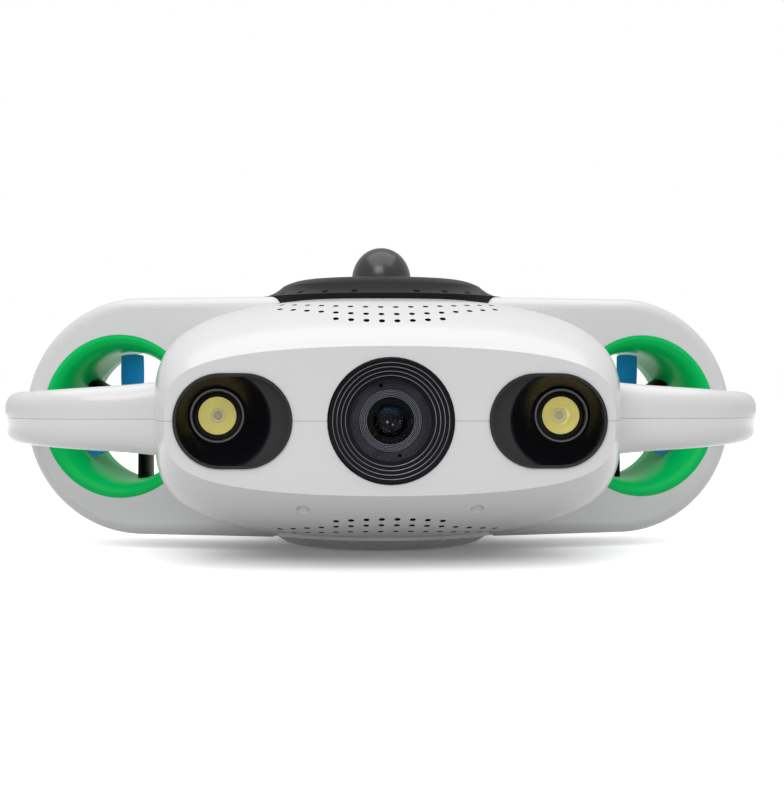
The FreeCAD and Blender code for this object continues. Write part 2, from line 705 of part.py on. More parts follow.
def lamp_window():
    """Flat glass disc on the floor of the well."""
    return cylinder(LAMP_WINDOW_RADIUS - SEAT_GAP, reflector_centre(LAMP_WELL_DEPTH),
                    reflector_centre(LAMP_FLOOR))


def reflector_cup(radius, depth):
    """Parabolic bowl about local Z with its mouth at 0."""
    bowl = Part.BezierCurve()
    bowl.setPoles([V(radius, 0, 0), V(0.62 * radius, 0, depth), V(0, 0, depth)])
    edges = [bowl.toShape(), Part.makeLine(V(0, 0, depth), CENTRE),
             Part.makeLine(CENTRE, V(radius, 0, 0))]
    return revolve_wire(edges)


def lamp_reflector():
    """Dished reflector with a flat seat for the emitter."""
    mouth = reflector_centre(LAMP_FLOOR)
    outer = reflector_cup(REFLECTOR_RADIUS + 1.0, REFLECTOR_DEPTH + 1.0)
    inner = reflector_cup(REFLECTOR_RADIUS, REFLECTOR_DEPTH)
    cup = outer.cut(inner)
    base = cylinder(EMITTER_RADIUS + 1.5, at(REFLECTOR_DEPTH - 1.5), at(REFLECTOR_DEPTH + 2))
    collar = tube(LAMP_WELL_FLOOR, REFLECTOR_RADIUS, CENTRE, at(1.2))
    room = cylinder(EMITTER_RADIUS, at(-1), at(REFLECTOR_DEPTH - 0.5))
    cup = cup.fuse([base.cut(inner), collar]).cut(room).removeSplitter()
    cup.translate(mouth)
    return cup


def lamp_emitter():
    """Square light source on its round carrier."""
    start = LAMP_FLOOR + REFLECTOR_DEPTH - 0.5
    carrier = cylinder(EMITTER_RADIUS, reflector_centre(start - 0.6), reflector_centre(start))
    side = EMITTER_RADIUS
    corner = reflector_centre(start - 1.4).sub(V(side / 2, side / 2, 0))
    die = Part.makeBox(side, side, 0.8, corner)
    return carrier.fuse(die).removeSplitter()


def lamp_housing():
    """Finned metal cup that seals the lamp behind its bezel."""
    inner = LAMP_WELL_FLOOR + SEAT_GAP
    outer = inner + 2.0
    floor = LAMP_FLOOR + REFLECTOR_DEPTH + 2.0
    cup = cylinder(outer, reflector_centre(LAMP_FLOOR), reflector_centre(floor + 3.0))
    hollow = cylinder(inner, reflector_centre(LAMP_FLOOR - 1), reflector_centre(floor))
    fins = []
    for index in range(4):
        start = LAMP_FLOOR + 2.5 + index * 2.6
        groove = tube(outer + 1, inner + 1.0, reflector_centre(start),
                      reflector_centre(start + 1.3))
        fins.append(groove)
    return cup.cut([hollow] + fins)


# --- Round covers over the vertical duct ---------------------------------------------
def cover_profile(radius_step, rim_z, shoulder_z, crown_z, base_z):
    """Half outline of a dish with a concave flank, from the crown to the rim."""
    rim = COVER_RADIUS - radius_step
    shoulder = COVER_SHOULDER_RADIUS - radius_step * 0.7
    crown = COVER_CROWN_RADIUS - radius_step * 0.4
    sag = 0.25 * (shoulder_z - rim_z)
    flank = Part.Arc(V(rim, 0, rim_z),
                     V((rim + shoulder) / 2, 0, (rim_z + shoulder_z) / 2 - sag),
                     V(shoulder, 0, shoulder_z)).toShape()
    turn = Part.Arc(V(shoulder, 0, shoulder_z),
                    V((shoulder + crown) / 2, 0, (shoulder_z + 2 * crown_z) / 3),
                    V(crown, 0, crown_z)).toShape()
    rest = Part.makePolygon([V(crown, 0, crown_z), V(0, 0, crown_z), V(0, 0, base_z),
                             V(rim, 0, base_z), V(rim, 0, rim_z)])
    return revolve_wire([flank, turn] + rest.Edges)


def flank_hole_angles():
    """Angles of the small flank holes; the front and rear places stay blank."""
    count = round(360 / FLANK_HOLE_PITCH)
    return [index * 360 / count for index in range(count) if index % (count // 2)]


def pierced_cover(rim_z, shoulder_z, crown_z):
    """Dished cover with a slotted crown and small holes round its flank."""
    outer = cover_profile(0, rim_z, shoulder_z, crown_z, COVER_SEAT_Z)
    inner = cover_profile(COVER_WALL, rim_z - COVER_WALL, shoulder_z - COVER_WALL,
                          crown_z - COVER_WALL, COVER_SEAT_Z - 1)
    cuts = [inner]
    for degrees in flank_hole_angles():
        hole = cylinder(FLANK_HOLE_RADIUS, at(COVER_SEAT_Z), at(crown_z))
        hole.translate(V(0, -FLANK_HOLE_CIRCLE, 0))
        hole.rotate(CENTRE, Z_AXIS, degrees)
        cuts.append(hole)
    for index in range(GRILLE_SLOTS):
        slot = slot_prism(GRILLE_OUTER - GRILLE_INNER, GRILLE_SLOT_WIDTH,
                          crown_z - 2 * COVER_WALL, crown_z + 1)
        slot.translate(V((GRILLE_OUTER + GRILLE_INNER) / 2, 0, 0))
        slot.rotate(CENTRE, Z_AXIS, 360 * (index + 0.5) / GRILLE_SLOTS)
        cuts.append(slot)
    return outer.cut(cuts)


def top_cover():
    return pierced_cover(COVER_RIM_Z, COVER_SHOULDER_Z, COVER_CROWN_Z)


def underside_cover():
    """White cover whose flat crown is the face the vehicle stands on."""
    return flipped(pierced_cover(UNDER_RIM_Z, UNDER_SHOULDER_Z, UNDER_CROWN_Z))


def top_dome():
    """Rounded beacon on the middle of the top cover."""
    height = DOME_TOP_Z - COVER_CROWN_Z
    wall = Part.BezierCurve()
    wall.setPoles([V(DOME_RADIUS, 0, COVER_CROWN_Z), V(0.80 * DOME_RADIUS, 0, COVER_CROWN_Z + 1.5),
                   V(0.82 * DOME_RADIUS, 0, COVER_CROWN_Z + 0.55 * height),
                   V(0.70 * DOME_RADIUS, 0, DOME_TOP_Z), V(0, 0, DOME_TOP_Z)])
    edges = [wall.toShape(), Part.makeLine(V(0, 0, DOME_TOP_Z), at(COVER_CROWN_Z)),
             Part.makeLine(at(COVER_CROWN_Z), V(DOME_RADIUS, 0, COVER_CROWN_Z))]
    return revolve_wire(edges)


# --- Hull shells ----------------------------------------------------------------------
def cradle_places():
    """Front faces of the ring ribs that hold the electronics housing."""
    return (HOUSING_FRONT_Y + 12, HOUSING_FRONT_Y + HOUSING_LENGTH - 18)


def screw_places():
    """Plan positions of the hull screws on the right side; the rear one is on a rib."""
    rear_rib = cradle_places()[1] + RIB_THICKNESS / 2
    front = (LAMP_X - LAMP_LENGTH / 2 - BOSS_RADIUS - 0.3, -NOSE_OFFSET + 12.0)
    side = (0.82 * HEAD_HALF_WIDTH, 67.0 - NOSE_OFFSET)
    return (front, side, (HOUSING_RADIUS + 18.0, rear_rib))


def shell_half():
    """Upper half shell: outer skin, cover seat, screw bosses and housing cradle.

    What stands inside ends in the middle of the wall, so no two surfaces coincide.
    """
    core = half_hull(HULL_WALL / 2)
    skin = half_hull(0).cut(half_hull(HULL_WALL))
    inside = [cylinder(COVER_RADIUS + SEAT_GAP + HULL_WALL, at(COVER_SEAT_Z - HULL_WALL),
                       at(2 * HULL_HALF_HEIGHT))]
    for x, y in screw_places():
        for side in (-1, 1):
            inside.append(cylinder(BOSS_RADIUS, V(side * x, y, 0),
                                   V(side * x, y, 2 * HULL_HALF_HEIGHT)))
    for y in cradle_places():
        rib = Part.makeBox(2 * HEAD_HALF_WIDTH, RIB_THICKNESS, 2 * HULL_HALF_HEIGHT,
                           V(-HEAD_HALF_WIDTH, y, 0))
        inside.append(rib.cut(cylinder(HOUSING_RADIUS + SEAT_GAP, V(0, y - 1, 0),
                                       V(0, y + RIB_THICKNESS + 1, 0))))
    return skin.fuse([piece.common(core) for piece in inside])


def duct_hole():
    """Room in the shells for the right duct liner and its flange."""
    sleeve = cylinder(DUCT_SLEEVE + SEAT_GAP, at(-20), at(DUCT_LENGTH + 20))
    flange = cylinder(DUCT_FLANGE + SEAT_GAP, at(-20), at(DUCT_FLANGE_DEPTH))
    return along_duct(sleeve.fuse(flange))


def hull_openings():
    """Everything cut from both half shells."""
    duct = duct_hole()
    port = into_nose(cylinder(PORT_RADIUS + SEAT_GAP, at(-5), at(HULL_WALL + 2)))
    lamp = slot_prism(LAMP_LENGTH + 2 * SEAT_GAP, LAMP_HEIGHT + 2 * SEAT_GAP, -5, HULL_WALL + 2)
    right_lamp = into_nose(lamp, LAMP_X)
    tail_y = BODY_LENGTH - NOSE_OFFSET
    socket = cylinder(SOCKET_RADIUS + SEAT_GAP, V(0, tail_y - 2 * HULL_WALL, 0),
                      V(0, tail_y + 5, 0))
    recess = cylinder(COVER_RADIUS + SEAT_GAP, at(COVER_SEAT_Z), at(2 * HULL_HALF_HEIGHT))
    liner = cylinder(VERTICAL_SLEEVE + SEAT_GAP, CENTRE, at(HULL_HALF_HEIGHT))
    return [duct, mirrored(duct), port, right_lamp, mirrored(right_lamp), socket, recess, liner]


def upper_shell():
    """Upper moulding with blind pilot holes in its bosses."""
    cuts = hull_openings()
    for x, y in screw_places():
        for side in (-1, 1):
            cuts.append(cylinder(SCREW_RADIUS, V(side * x, y, -1), V(side * x, y, SCREW_GRIP)))
    return shell_half().cut(cuts)


def lower_shell():
    """Lower moulding: the bosses are bored and counterbored from below."""
    cuts = hull_openings()
    for x, y in screw_places():
        for side in (-1, 1):
            base = V(side * x, y, 0)
            cuts.append(cylinder(SCREW_RADIUS + SEAT_GAP, base.sub(Z_AXIS),
                                 base.add(at(HULL_HALF_HEIGHT))))
            cuts.append(cylinder(HEAD_RADIUS + SEAT_GAP, base.add(at(SCREW_SEAT)),
                                 base.add(at(HULL_HALF_HEIGHT))))
    return flipped(shell_half().cut(cuts))


def hull_screws():
    """Six socket-head screws, one in each boss."""
    screws = []
    for x, y in screw_places():
        for side in (-1, 1):
            base = V(side * x, y, 0)
            shank = cylinder(SCREW_RADIUS, base.sub(at(SCREW_SEAT)), base.add(at(SCREW_GRIP)))
            head = cylinder(HEAD_RADIUS, base.sub(at(SCREW_SEAT + HEAD_HEIGHT)),
                            base.sub(at(SCREW_SEAT)))
            socket = hexagon(HEAD_RADIUS * 0.55, base.sub(at(SCREW_SEAT + HEAD_HEIGHT + 1)), 3.0)
            screws.append(shank.fuse(head).cut(socket))
    return Part.makeCompound(screws)


def hexagon(radius, base, height):
    """Six-sided prism standing on a point."""
    corners = []
    for index in range(7):
        angle = math.radians(60 * index)
        corners.append(base.add(V(radius * math.cos(angle), radius * math.sin(angle), 0)))
    return Part.Face(Part.makePolygon(corners)).extrude(at(height))


# --- Electronics in the tail ----------------------------------------------------------
def housing_end():
    return HOUSING_FRONT_Y + HOUSING_LENGTH


def electronics_housing():
    """Round pressure housing, closed at the front and open to its lid at the rear."""
    front = V(0, HOUSING_FRONT_Y, 0)
    rear = V(0, housing_end(), 0)
    bore = cylinder(HOUSING_RADIUS - HOUSING_WALL, front.add(V(0, HOUSING_WALL, 0)),
                    rear.add(Y_AXIS))
    return cylinder(HOUSING_RADIUS, front, rear).cut(bore)


def housing_lid():
    """Flanged lid with a spigot that enters the housing and a bore for the tether socket."""
    rear = V(0, housing_end(), 0)
    flange = cylinder(HOUSING_RADIUS, rear, rear.add(V(0, LID_THICKNESS, 0)))
    spigot = cylinder(HOUSING_RADIUS - HOUSING_WALL - SEAT_GAP, rear.sub(V(0, 6, 0)), rear)
    bore = cylinder(SOCKET_RADIUS - 2, rear.sub(V(0, 7, 0)), rear.add(V(0, 10, 0)))
    groove = tube(HOUSING_RADIUS - HOUSING_WALL, SEAL_INNER, rear.sub(V(0, 4, 0)),
                  rear.sub(V(0, 2, 0)))
    return flange.fuse(spigot).cut([bore, groove]).removeSplitter()


def lid_seal():
    """Rubber ring in the lid's groove."""
    rear = V(0, housing_end(), 0)
    return tube(HOUSING_RADIUS - HOUSING_WALL, SEAL_INNER, rear.sub(V(0, 4, 0)),
                rear.sub(V(0, 2, 0)))


def battery_pack():
    """Flat cell pack on the housing floor."""
    radius = HOUSING_RADIUS - HOUSING_WALL - SEAT_GAP
    start = HOUSING_FRONT_Y + HOUSING_WALL
    block = Part.makeBox(4 * radius, BATTERY_LENGTH, BATTERY_HEIGHT,
                         V(-2 * radius, start, -radius + 6))
    return block.common(cylinder(radius, V(0, start, 0), V(0, start + BATTERY_LENGTH, 0)))


def control_board():
    """Circuit board with a processor, a driver row and a connector, above the battery."""
    radius = HOUSING_RADIUS - HOUSING_WALL - SEAT_GAP
    start = HOUSING_FRONT_Y + HOUSING_WALL
    deck = -radius + 6 + BATTERY_HEIGHT
    board = Part.makeBox(BOARD_WIDTH, BATTERY_LENGTH, BOARD_THICKNESS,
                         V(-BOARD_WIDTH / 2, start, deck + 3))
    pieces = [Part.makeBox(14, 14, 2, V(-7, start + 8, deck + 3 + BOARD_THICKNESS))]
    for index in range(3):
        pieces.append(Part.makeBox(8, 10, 3, V(-18 + 14 * index, start + 34,
                                               deck + 3 + BOARD_THICKNESS)))
    pieces.append(Part.makeBox(24, 7, 6, V(-12, start + 56, deck + 3 + BOARD_THICKNESS)))
    for x in (-BOARD_WIDTH / 2 + 3, BOARD_WIDTH / 2 - 3):
        for y in (4, BATTERY_LENGTH - 4):
            pieces.append(cylinder(2, V(x, start + y, deck), V(x, start + y, deck + 3)))
    return fuse_all([board] + pieces)


def tether_socket():
    """Through-hull socket for the tether plug, carried by the housing lid."""
    inner = V(0, housing_end() + LID_THICKNESS, 0)
    tail = V(0, BODY_LENGTH - NOSE_OFFSET, 0)
    end = tail.add(V(0, SOCKET_FLANGE_DEPTH, 0))
    body = cylinder(SOCKET_RADIUS, inner, end).fuse(cylinder(SOCKET_FLANGE, tail, end))
    bore = cylinder(SOCKET_BORE, end.sub(V(0, SOCKET_DEPTH, 0)), end.add(Y_AXIS))
    return body.cut(bore).removeSplitter()


# --- Assembly -------------------------------------------------------------------------
def vertical_frame(shape):
    """Move a piece from the thruster frame to the vertical duct, intake rim on top."""
    moved = shape.copy()
    place = FreeCAD.Placement(at(COVER_SEAT_Z), FreeCAD.Rotation(X_AXIS, 180))
    moved.Placement = place.multiply(shape.Placement)
    return moved


def vertical_offset():
    """Distance that centres the vertical thruster in its longer duct."""
    return COVER_SEAT_Z - (PROP_START + POD_END) / 2


def assembly():
    """Every piece by name, about the parting plane."""
    pieces = {"upper_shell": upper_shell(), "lower_shell": lower_shell()}
    grip = trimmed_grip()
    pieces["right_grip_upper"] = grip
    pieces["right_grip_lower"] = flipped(grip)
    pieces["right_duct_liner"] = along_duct(duct_liner())
    for name, build in THRUSTER_PIECES.items():
        shape = build()
        pieces["right_" + name] = along_duct(shape)
        lowered = shape.copy()
        lowered.translate(at(vertical_offset()))
        pieces["vertical_" + name] = vertical_frame(lowered)
    lamp = {
        "lamp_bezel": lamp_bezel, "lamp_window": lamp_window,
        "lamp_reflector": lamp_reflector, "lamp_housing": lamp_housing,
    }
    for name, build in lamp.items():
        pieces["right_" + name] = into_nose(build(), LAMP_X)
    for name in [name for name in pieces if name.startswith("right_")]:
        pieces[name.replace("right_", "left_")] = mirrored(pieces[name])
    emitter = into_nose(lamp_emitter(), LAMP_X)
    pieces["lamp_emitters"] = Part.makeCompound([emitter, mirrored(emitter)])
    port = {
        "port_bezel": port_bezel, "port_window": port_window, "lens_retainer": lens_retainer,
        "lens_barrel": lens_barrel, "front_lens": front_lens, "camera_board": camera_board,
        "camera_housing": camera_housing,
    }
    for name, build in port.items():
        pieces[name] = into_nose(build())
    pieces["vertical_duct_liner"] = vertical_frame(vertical_liner())
    plain = {
        "top_cover": top_cover, "top_dome": top_dome, "underside_cover": underside_cover,
        "hull_screws": hull_screws, "electronics_housing": electronics_housing,
        "housing_lid": housing_lid, "lid_seal": lid_seal, "battery_pack": battery_pack,
        "control_board": control_board, "tether_socket": tether_socket,
    }
    for name, build in plain.items():
        pieces[name] = build()
    return pieces


def main():
    os.makedirs("parts", exist_ok=True)
    for name, shape in assembly().items():
        raised = shape.Solids[0].copy() if len(shape.Solids) == 1 else shape.copy()
        raised.translate(V(0, 0, SEAM_HEIGHT))
        raised.exportStep("parts/" + name + ".step")


main()
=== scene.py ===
import json
import math

import bmesh
import bpy
from mathutils import Matrix, Vector
from mathutils.bvhtree import BVHTree
from mathutils.geometry import barycentric_transform
from mathutils.kdtree import KDTree


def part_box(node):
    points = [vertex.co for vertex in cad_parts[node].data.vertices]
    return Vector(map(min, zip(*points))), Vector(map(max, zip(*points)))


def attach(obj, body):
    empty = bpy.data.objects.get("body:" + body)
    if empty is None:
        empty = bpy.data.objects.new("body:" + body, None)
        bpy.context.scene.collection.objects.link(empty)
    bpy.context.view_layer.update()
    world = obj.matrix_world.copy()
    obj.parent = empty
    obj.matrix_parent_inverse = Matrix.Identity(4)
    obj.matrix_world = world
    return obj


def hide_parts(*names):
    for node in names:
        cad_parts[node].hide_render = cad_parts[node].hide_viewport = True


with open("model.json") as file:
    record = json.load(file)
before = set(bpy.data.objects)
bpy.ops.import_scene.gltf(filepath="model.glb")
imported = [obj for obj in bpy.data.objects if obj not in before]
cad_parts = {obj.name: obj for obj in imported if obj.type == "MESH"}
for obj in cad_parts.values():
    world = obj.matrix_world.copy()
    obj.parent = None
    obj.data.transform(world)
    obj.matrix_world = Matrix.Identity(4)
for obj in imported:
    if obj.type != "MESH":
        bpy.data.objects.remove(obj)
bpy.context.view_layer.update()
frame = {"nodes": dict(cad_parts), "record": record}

bl_info = {
    "name": "Underwater inspection ROV",
    "version": (1, 0, 0),
    "blender": (4, 5, 0),
    "location": "3D View > Sidebar > ROV",
    "description": "Finishes and small parts of a compact underwater inspection vehicle",
    "category": "Object",
}

MM = 0.001
MATERIALS = {}      # material by name
SKIN = {}           # shader groups that the finishes share

# Heights and depths that the pieces share, read from the frame.
SEAM_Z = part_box("lower_shell")[1].z
NOSE_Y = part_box("upper_shell")[0].y

# Sizes in millimetres.
SLOPE_HEIGHT = 60.0         # seam plane to the middle of the pins that cut the water holes
PIN_LENGTH = 30.0
# Turned rings of a lamp: (radius, distance ahead of the face that the ring sits on).
SEAT_RING = ((12.7, 0.1), (12.8, 1.1), (13.4, 1.9), (14.3, 1.9), (14.9, 1.1), (14.9, 0.1))
WINDOW_BORDER = ((12.95, 0.15), (12.95, 0.4), (12.2, 0.75), (10.5, 0.75), (10.1, 0.35),
                 (10.1, 0.15))
EMITTER_RING = ((3.5, 0.0), (3.5, 0.4), (3.1, 0.9), (2.5, 0.9), (2.1, 0.5), (2.1, 0.0))

# Distances in metres under which corners count as the same.
SAME_CORNER = 1e-7
NEAR_CORNER = 2e-6
# Least cosine between two faces that may share a normal.
SAME_SIDE = 0.5


# ---- Settings ------------------------------------------------------------------------
def length(name, text, value):
    """A size in metres."""
    return bpy.props.FloatProperty(name=name, description=text, default=value,
                                   unit="LENGTH", subtype="DISTANCE", precision=5)


def colour(name, text, value):
    """A linear colour."""
    return bpy.props.FloatVectorProperty(name=name, description=text, default=value,
                                         subtype="COLOR", size=3, min=0.0, max=1.0)


class RovColours(bpy.types.PropertyGroup):
    """Colours of the mouldings and the small parts."""
    hull: colour("Hull", "White mouldings", (0.79, 0.79, 0.79))
    duct: colour("Duct", "Flared duct liners", (0.0005, 0.66, 0.14))
    propeller: colour("Propeller", "Propeller blades and hubs", (0.02, 0.30, 0.74))
    cover: colour("Cover", "Top cover and dome", (0.0055, 0.0055, 0.006))
    trim: colour("Trim", "Camera port and lamp bezels", (0.004, 0.004, 0.006))
    reflector: colour("Reflector", "Lamp reflectors", (0.95, 0.85, 0.30))
    glass: colour("Glass tint", "Camera and lamp windows", (0.90, 0.95, 1.0))


class RovPerforations(bpy.types.PropertyGroup):
    """Rows of small water holes in the slopes ahead of the round covers."""
    radius: length("Hole radius", "Radius of one hole", 1.65 * MM)
    circle_a: length("Row A circle", "Radius of the row nearest the cover", 104.0 * MM)
    circle_b: length("Row B circle", "Radius of the middle row", 115.5 * MM)
    circle_c: length("Row C circle", "Radius of the short front row", 123.5 * MM)
    count_long: bpy.props.IntProperty(name="Long row", description="Holes in rows A and B",
                                      default=16, min=2)
    count_short: bpy.props.IntProperty(name="Short row", description="Holes in row C",
                                       default=8, min=2)
    pitch: length("Pitch", "Distance between neighbouring holes", 8.3 * MM)


class RovStage(bpy.types.PropertyGroup):
    """Camera and studio."""
    camera_place: bpy.props.FloatVectorProperty(
        name="Camera place", description="Position of the camera", subtype="TRANSLATION",
        default=(-0.036, -0.983, 0.099), unit="LENGTH")
    lens: bpy.props.FloatProperty(name="Lens", description="Focal length in millimetres",
                                  default=73.1, min=1.0)
    yaw: bpy.props.FloatProperty(name="Yaw", description="Turn to the right",
                                 default=math.radians(2.48), subtype="ANGLE")
    dip: bpy.props.FloatProperty(name="Dip", description="Turn downwards",
                                 default=math.radians(0.5), subtype="ANGLE")
    key_power: bpy.props.FloatProperty(name="Key", description="Overhead softbox, in watts",
                                       default=11.6, min=0.0)
    fill_power: bpy.props.FloatProperty(name="Fill", description="Front softbox, in watts",
                                        default=7.0, min=0.0)
    world_level: bpy.props.FloatProperty(name="World", description="Room light",
                                         default=0.50, min=0.0)
    floor_glow: bpy.props.FloatProperty(name="Floor glow", default=0.12, min=0.0,
                                        description="Brightness added to the floor as seen")


# ---- Shader groups -------------------------------------------------------------------
def new_group(name, inputs, outputs):
    """Empty shader group with float inputs (name, default) and (name, type) outputs."""
    tree = bpy.data.node_groups.new(name, "ShaderNodeTree")
    for label, default in inputs:
        socket = tree.interface.new_socket(label, in_out="INPUT", socket_type="NodeSocketFloat")
        socket.default_value = default
    for label, kind in outputs:
        tree.interface.new_socket(label, in_out="OUTPUT", socket_type=kind)
    return tree, tree.nodes.new("NodeGroupInput"), tree.nodes.new("NodeGroupOutput")


def add(tree, kind, **settings):
    """New node with its settings; a name of an input sets that input's value."""
    node = tree.nodes.new(kind)
    for key, value in settings.items():
        if hasattr(node, key):
            setattr(node, key, value)
        else:
            node.inputs[key.replace("_", " ")].default_value = value
    return node


def moulded_skin_group():
    """Faint waviness, orange peel and uneven polish of a glossy moulding."""
    tree, given, out = new_group(
        "moulded skin", [("Peel", 0.02), ("Waviness", 0.05), ("Polish", 0.2), ("Spread", 0.05)],
        [("Normal", "NodeSocketVector"), ("Roughness", "NodeSocketFloat"),
         ("Mottle", "NodeSocketFloat")])
    place = add(tree, "ShaderNodeTexCoord")
    peel = add(tree, "ShaderNodeTexNoise", Scale=900.0, Detail=2.0)
    wave = add(tree, "ShaderNodeTexNoise", Scale=28.0, Detail=1.0)
    smudge = add(tree, "ShaderNodeTexNoise", Scale=14.0, Detail=4.0, Roughness=0.6)
    link = tree.links.new
    for texture in (peel, wave, smudge):
        link(place.outputs["Object"], texture.inputs["Vector"])
    bump_wave = add(tree, "ShaderNodeBump", Distance=0.0006)
    bump_peel = add(tree, "ShaderNodeBump", Distance=0.00006)
    link(given.outputs["Waviness"], bump_wave.inputs["Strength"])
    link(wave.outputs["Fac"], bump_wave.inputs["Height"])
    link(given.outputs["Peel"], bump_peel.inputs["Strength"])
    link(peel.outputs["Fac"], bump_peel.inputs["Height"])
    link(bump_wave.outputs["Normal"], bump_peel.inputs["Normal"])
    spread = add(tree, "ShaderNodeMath", operation="MULTIPLY")
    level = add(tree, "ShaderNodeMath", operation="ADD")
    link(smudge.outputs["Fac"], spread.inputs[0])
    link(given.outputs["Spread"], spread.inputs[1])
    link(spread.outputs[0], level.inputs[0])
    link(given.outputs["Polish"], level.inputs[1])
    link(bump_peel.outputs["Normal"], out.inputs["Normal"])
    link(level.outputs[0], out.inputs["Roughness"])
    link(smudge.outputs["Fac"], out.inputs["Mottle"])
    return tree


def parting_line_group():
    """Mask of the thin line where the upper and lower mouldings meet."""
    tree, given, out = new_group("parting line", [("Height", 0.078), ("Width", 0.0003)],
                                 [("Line", "NodeSocketFloat")])
    place = add(tree, "ShaderNodeTexCoord")
    split = add(tree, "ShaderNodeSeparateXYZ")
    offset = add(tree, "ShaderNodeMath", operation="SUBTRACT")
    size = add(tree, "ShaderNodeMath", operation="ABSOLUTE")
    mask = add(tree, "ShaderNodeMapRange", interpolation_type="SMOOTHSTEP")
    mask.inputs["From Min"].default_value = 0.0
    mask.inputs["To Min"].default_value = 1.0
    mask.inputs["To Max"].default_value = 0.0
    link = tree.links.new
    link(place.outputs["Object"], split.inputs[0])
    link(split.outputs["Z"], offset.inputs[0])
    link(given.outputs["Height"], offset.inputs[1])
    link(offset.outputs[0], size.inputs[0])
    link(size.outputs[0], mask.inputs["Value"])
    link(given.outputs["Width"], mask.inputs["From Max"])
    link(mask.outputs["Result"], out.inputs["Line"])
    return tree


# ---- Finishes ------------------------------------------------------------------------
def principled(name, **sockets):
    """New material, its tree and its Principled shader with the given sockets set."""
    material = bpy.data.materials.new(name)
    material.use_nodes = True
    shader = material.node_tree.nodes["Principled BSDF"]
    for key, value in sockets.items():
        shader.inputs[key.replace("_", " ")].default_value = value
    MATERIALS[name] = material
    return material, material.node_tree, shader


def place_group(tree, group, **values):
    """Node group in a material, with its input values."""
    node = tree.nodes.new("ShaderNodeGroup")
    node.node_tree = group
    for key, value in values.items():
        node.inputs[key].default_value = value
    return node


def mix_colours(tree, factor, first, second):
    """Colour mix; each colour is a socket or an RGB tuple."""
    node = tree.nodes.new("ShaderNodeMix")
    node.data_type = "RGBA"
    tree.links.new(factor, node.inputs["Factor"])
    for label, value in (("A", first), ("B", second)):
        socket = [s for s in node.inputs if s.name == label and s.type == "RGBA"][0]
        if isinstance(value, bpy.types.NodeSocket):
            tree.links.new(value, socket)
        else:
            socket.default_value = (*value, 1.0)
    return [s for s in node.outputs if s.type == "RGBA"][0]


def fade(tree, value, start, end, low=0.0, high=1.0):
    """Value that goes smoothly from low at start to high at end."""
    ramp = add(tree, "ShaderNodeMapRange", interpolation_type="SMOOTHSTEP")
    for label, number in (("From Min", start), ("From Max", end), ("To Min", low),
                          ("To Max", high)):
        ramp.inputs[label].default_value = number
    tree.links.new(value, ramp.inputs["Value"])
    return ramp.outputs["Result"]


def distance_fade(tree, middle, painted_shade_ramp, far, low, high):
    """Value that goes from low to high with the distance from a fixed point."""
    place = add(tree, "ShaderNodeTexCoord")
    away = add(tree, "ShaderNodeVectorMath", operation="DISTANCE")
    away.inputs[1].default_value = middle
    tree.links.new(place.outputs["Object"], away.inputs[0])
    return fade(tree, away.outputs["Value"], painted_shade_ramp, far, low, high)


def object_axis(tree, axis):
    """One of the object's own coordinates."""
    place = add(tree, "ShaderNodeTexCoord")
    split = add(tree, "ShaderNodeSeparateXYZ")
    tree.links.new(place.outputs["Object"], split.inputs[0])
    return split.outputs[axis]


def shade(base, factor):
    """The colour made darker or lighter by a factor."""
    return tuple(min(1.0, channel * factor) for channel in base)


def moulded(name, base, contrast=0.06, peel=0.15, wave=0.04, polish=0.2, spread=0.08, **sockets):
    """Moulded, cast or polished finish with an uneven skin."""
    material, tree, shader = principled(name, **sockets)
    skin = place_group(tree, SKIN["moulded"], Peel=peel, Waviness=wave, Polish=polish,
                       Spread=spread)
    tree.links.new(skin.outputs["Normal"], shader.inputs["Normal"])
    tree.links.new(skin.outputs["Roughness"], shader.inputs["Roughness"])
    tone = mix_colours(tree, skin.outputs["Mottle"], shade(base, 1 + contrast / 2),
                       shade(base, 1 - contrast))
    tree.links.new(tone, shader.inputs["Base Color"])
    return material, tree, shader, tone


def hull_finish(base):
    """White gloss moulding with a hairline at the parting plane."""
    _, tree, shader, tone = moulded("white_hull", base, contrast=0.02, peel=0.10, wave=0.02,
                                    polish=0.20, spread=0.08, Coat_Weight=0.35,
                                    Coat_Roughness=0.12, Specular_IOR_Level=0.45)
    line = place_group(tree, SKIN["parting"], Height=SEAM_Z, Width=0.00028)
    lined = mix_colours(tree, line.outputs["Line"], tone, shade(base, 0.42))
    tree.links.new(lined, shader.inputs["Base Color"])


def turned_metal(name, base, rough, direction="X"):
    """Machined metal with fine turning marks."""
    _, tree, shader = principled(name, Metallic=1.0)
    place = add(tree, "ShaderNodeTexCoord")
    marks = add(tree, "ShaderNodeTexWave", wave_type="BANDS", bands_direction=direction,
                Scale=900.0, Distortion=2.0, Detail=1.0)
    bump = add(tree, "ShaderNodeBump", Strength=0.15, Distance=0.00003)
    tree.links.new(place.outputs["Object"], marks.inputs["Vector"])
    tree.links.new(marks.outputs["Fac"], bump.inputs["Height"])
    tree.links.new(bump.outputs["Normal"], shader.inputs["Normal"])
    tone = mix_colours(tree, marks.outputs["Fac"], shade(base, 1.05), shade(base, 0.86))
    tree.links.new(tone, shader.inputs["Base Color"])
    skin = place_group(tree, SKIN["moulded"], Peel=0.0, Waviness=0.0, Polish=rough, Spread=0.12)
    tree.links.new(skin.outputs["Roughness"], shader.inputs["Roughness"])


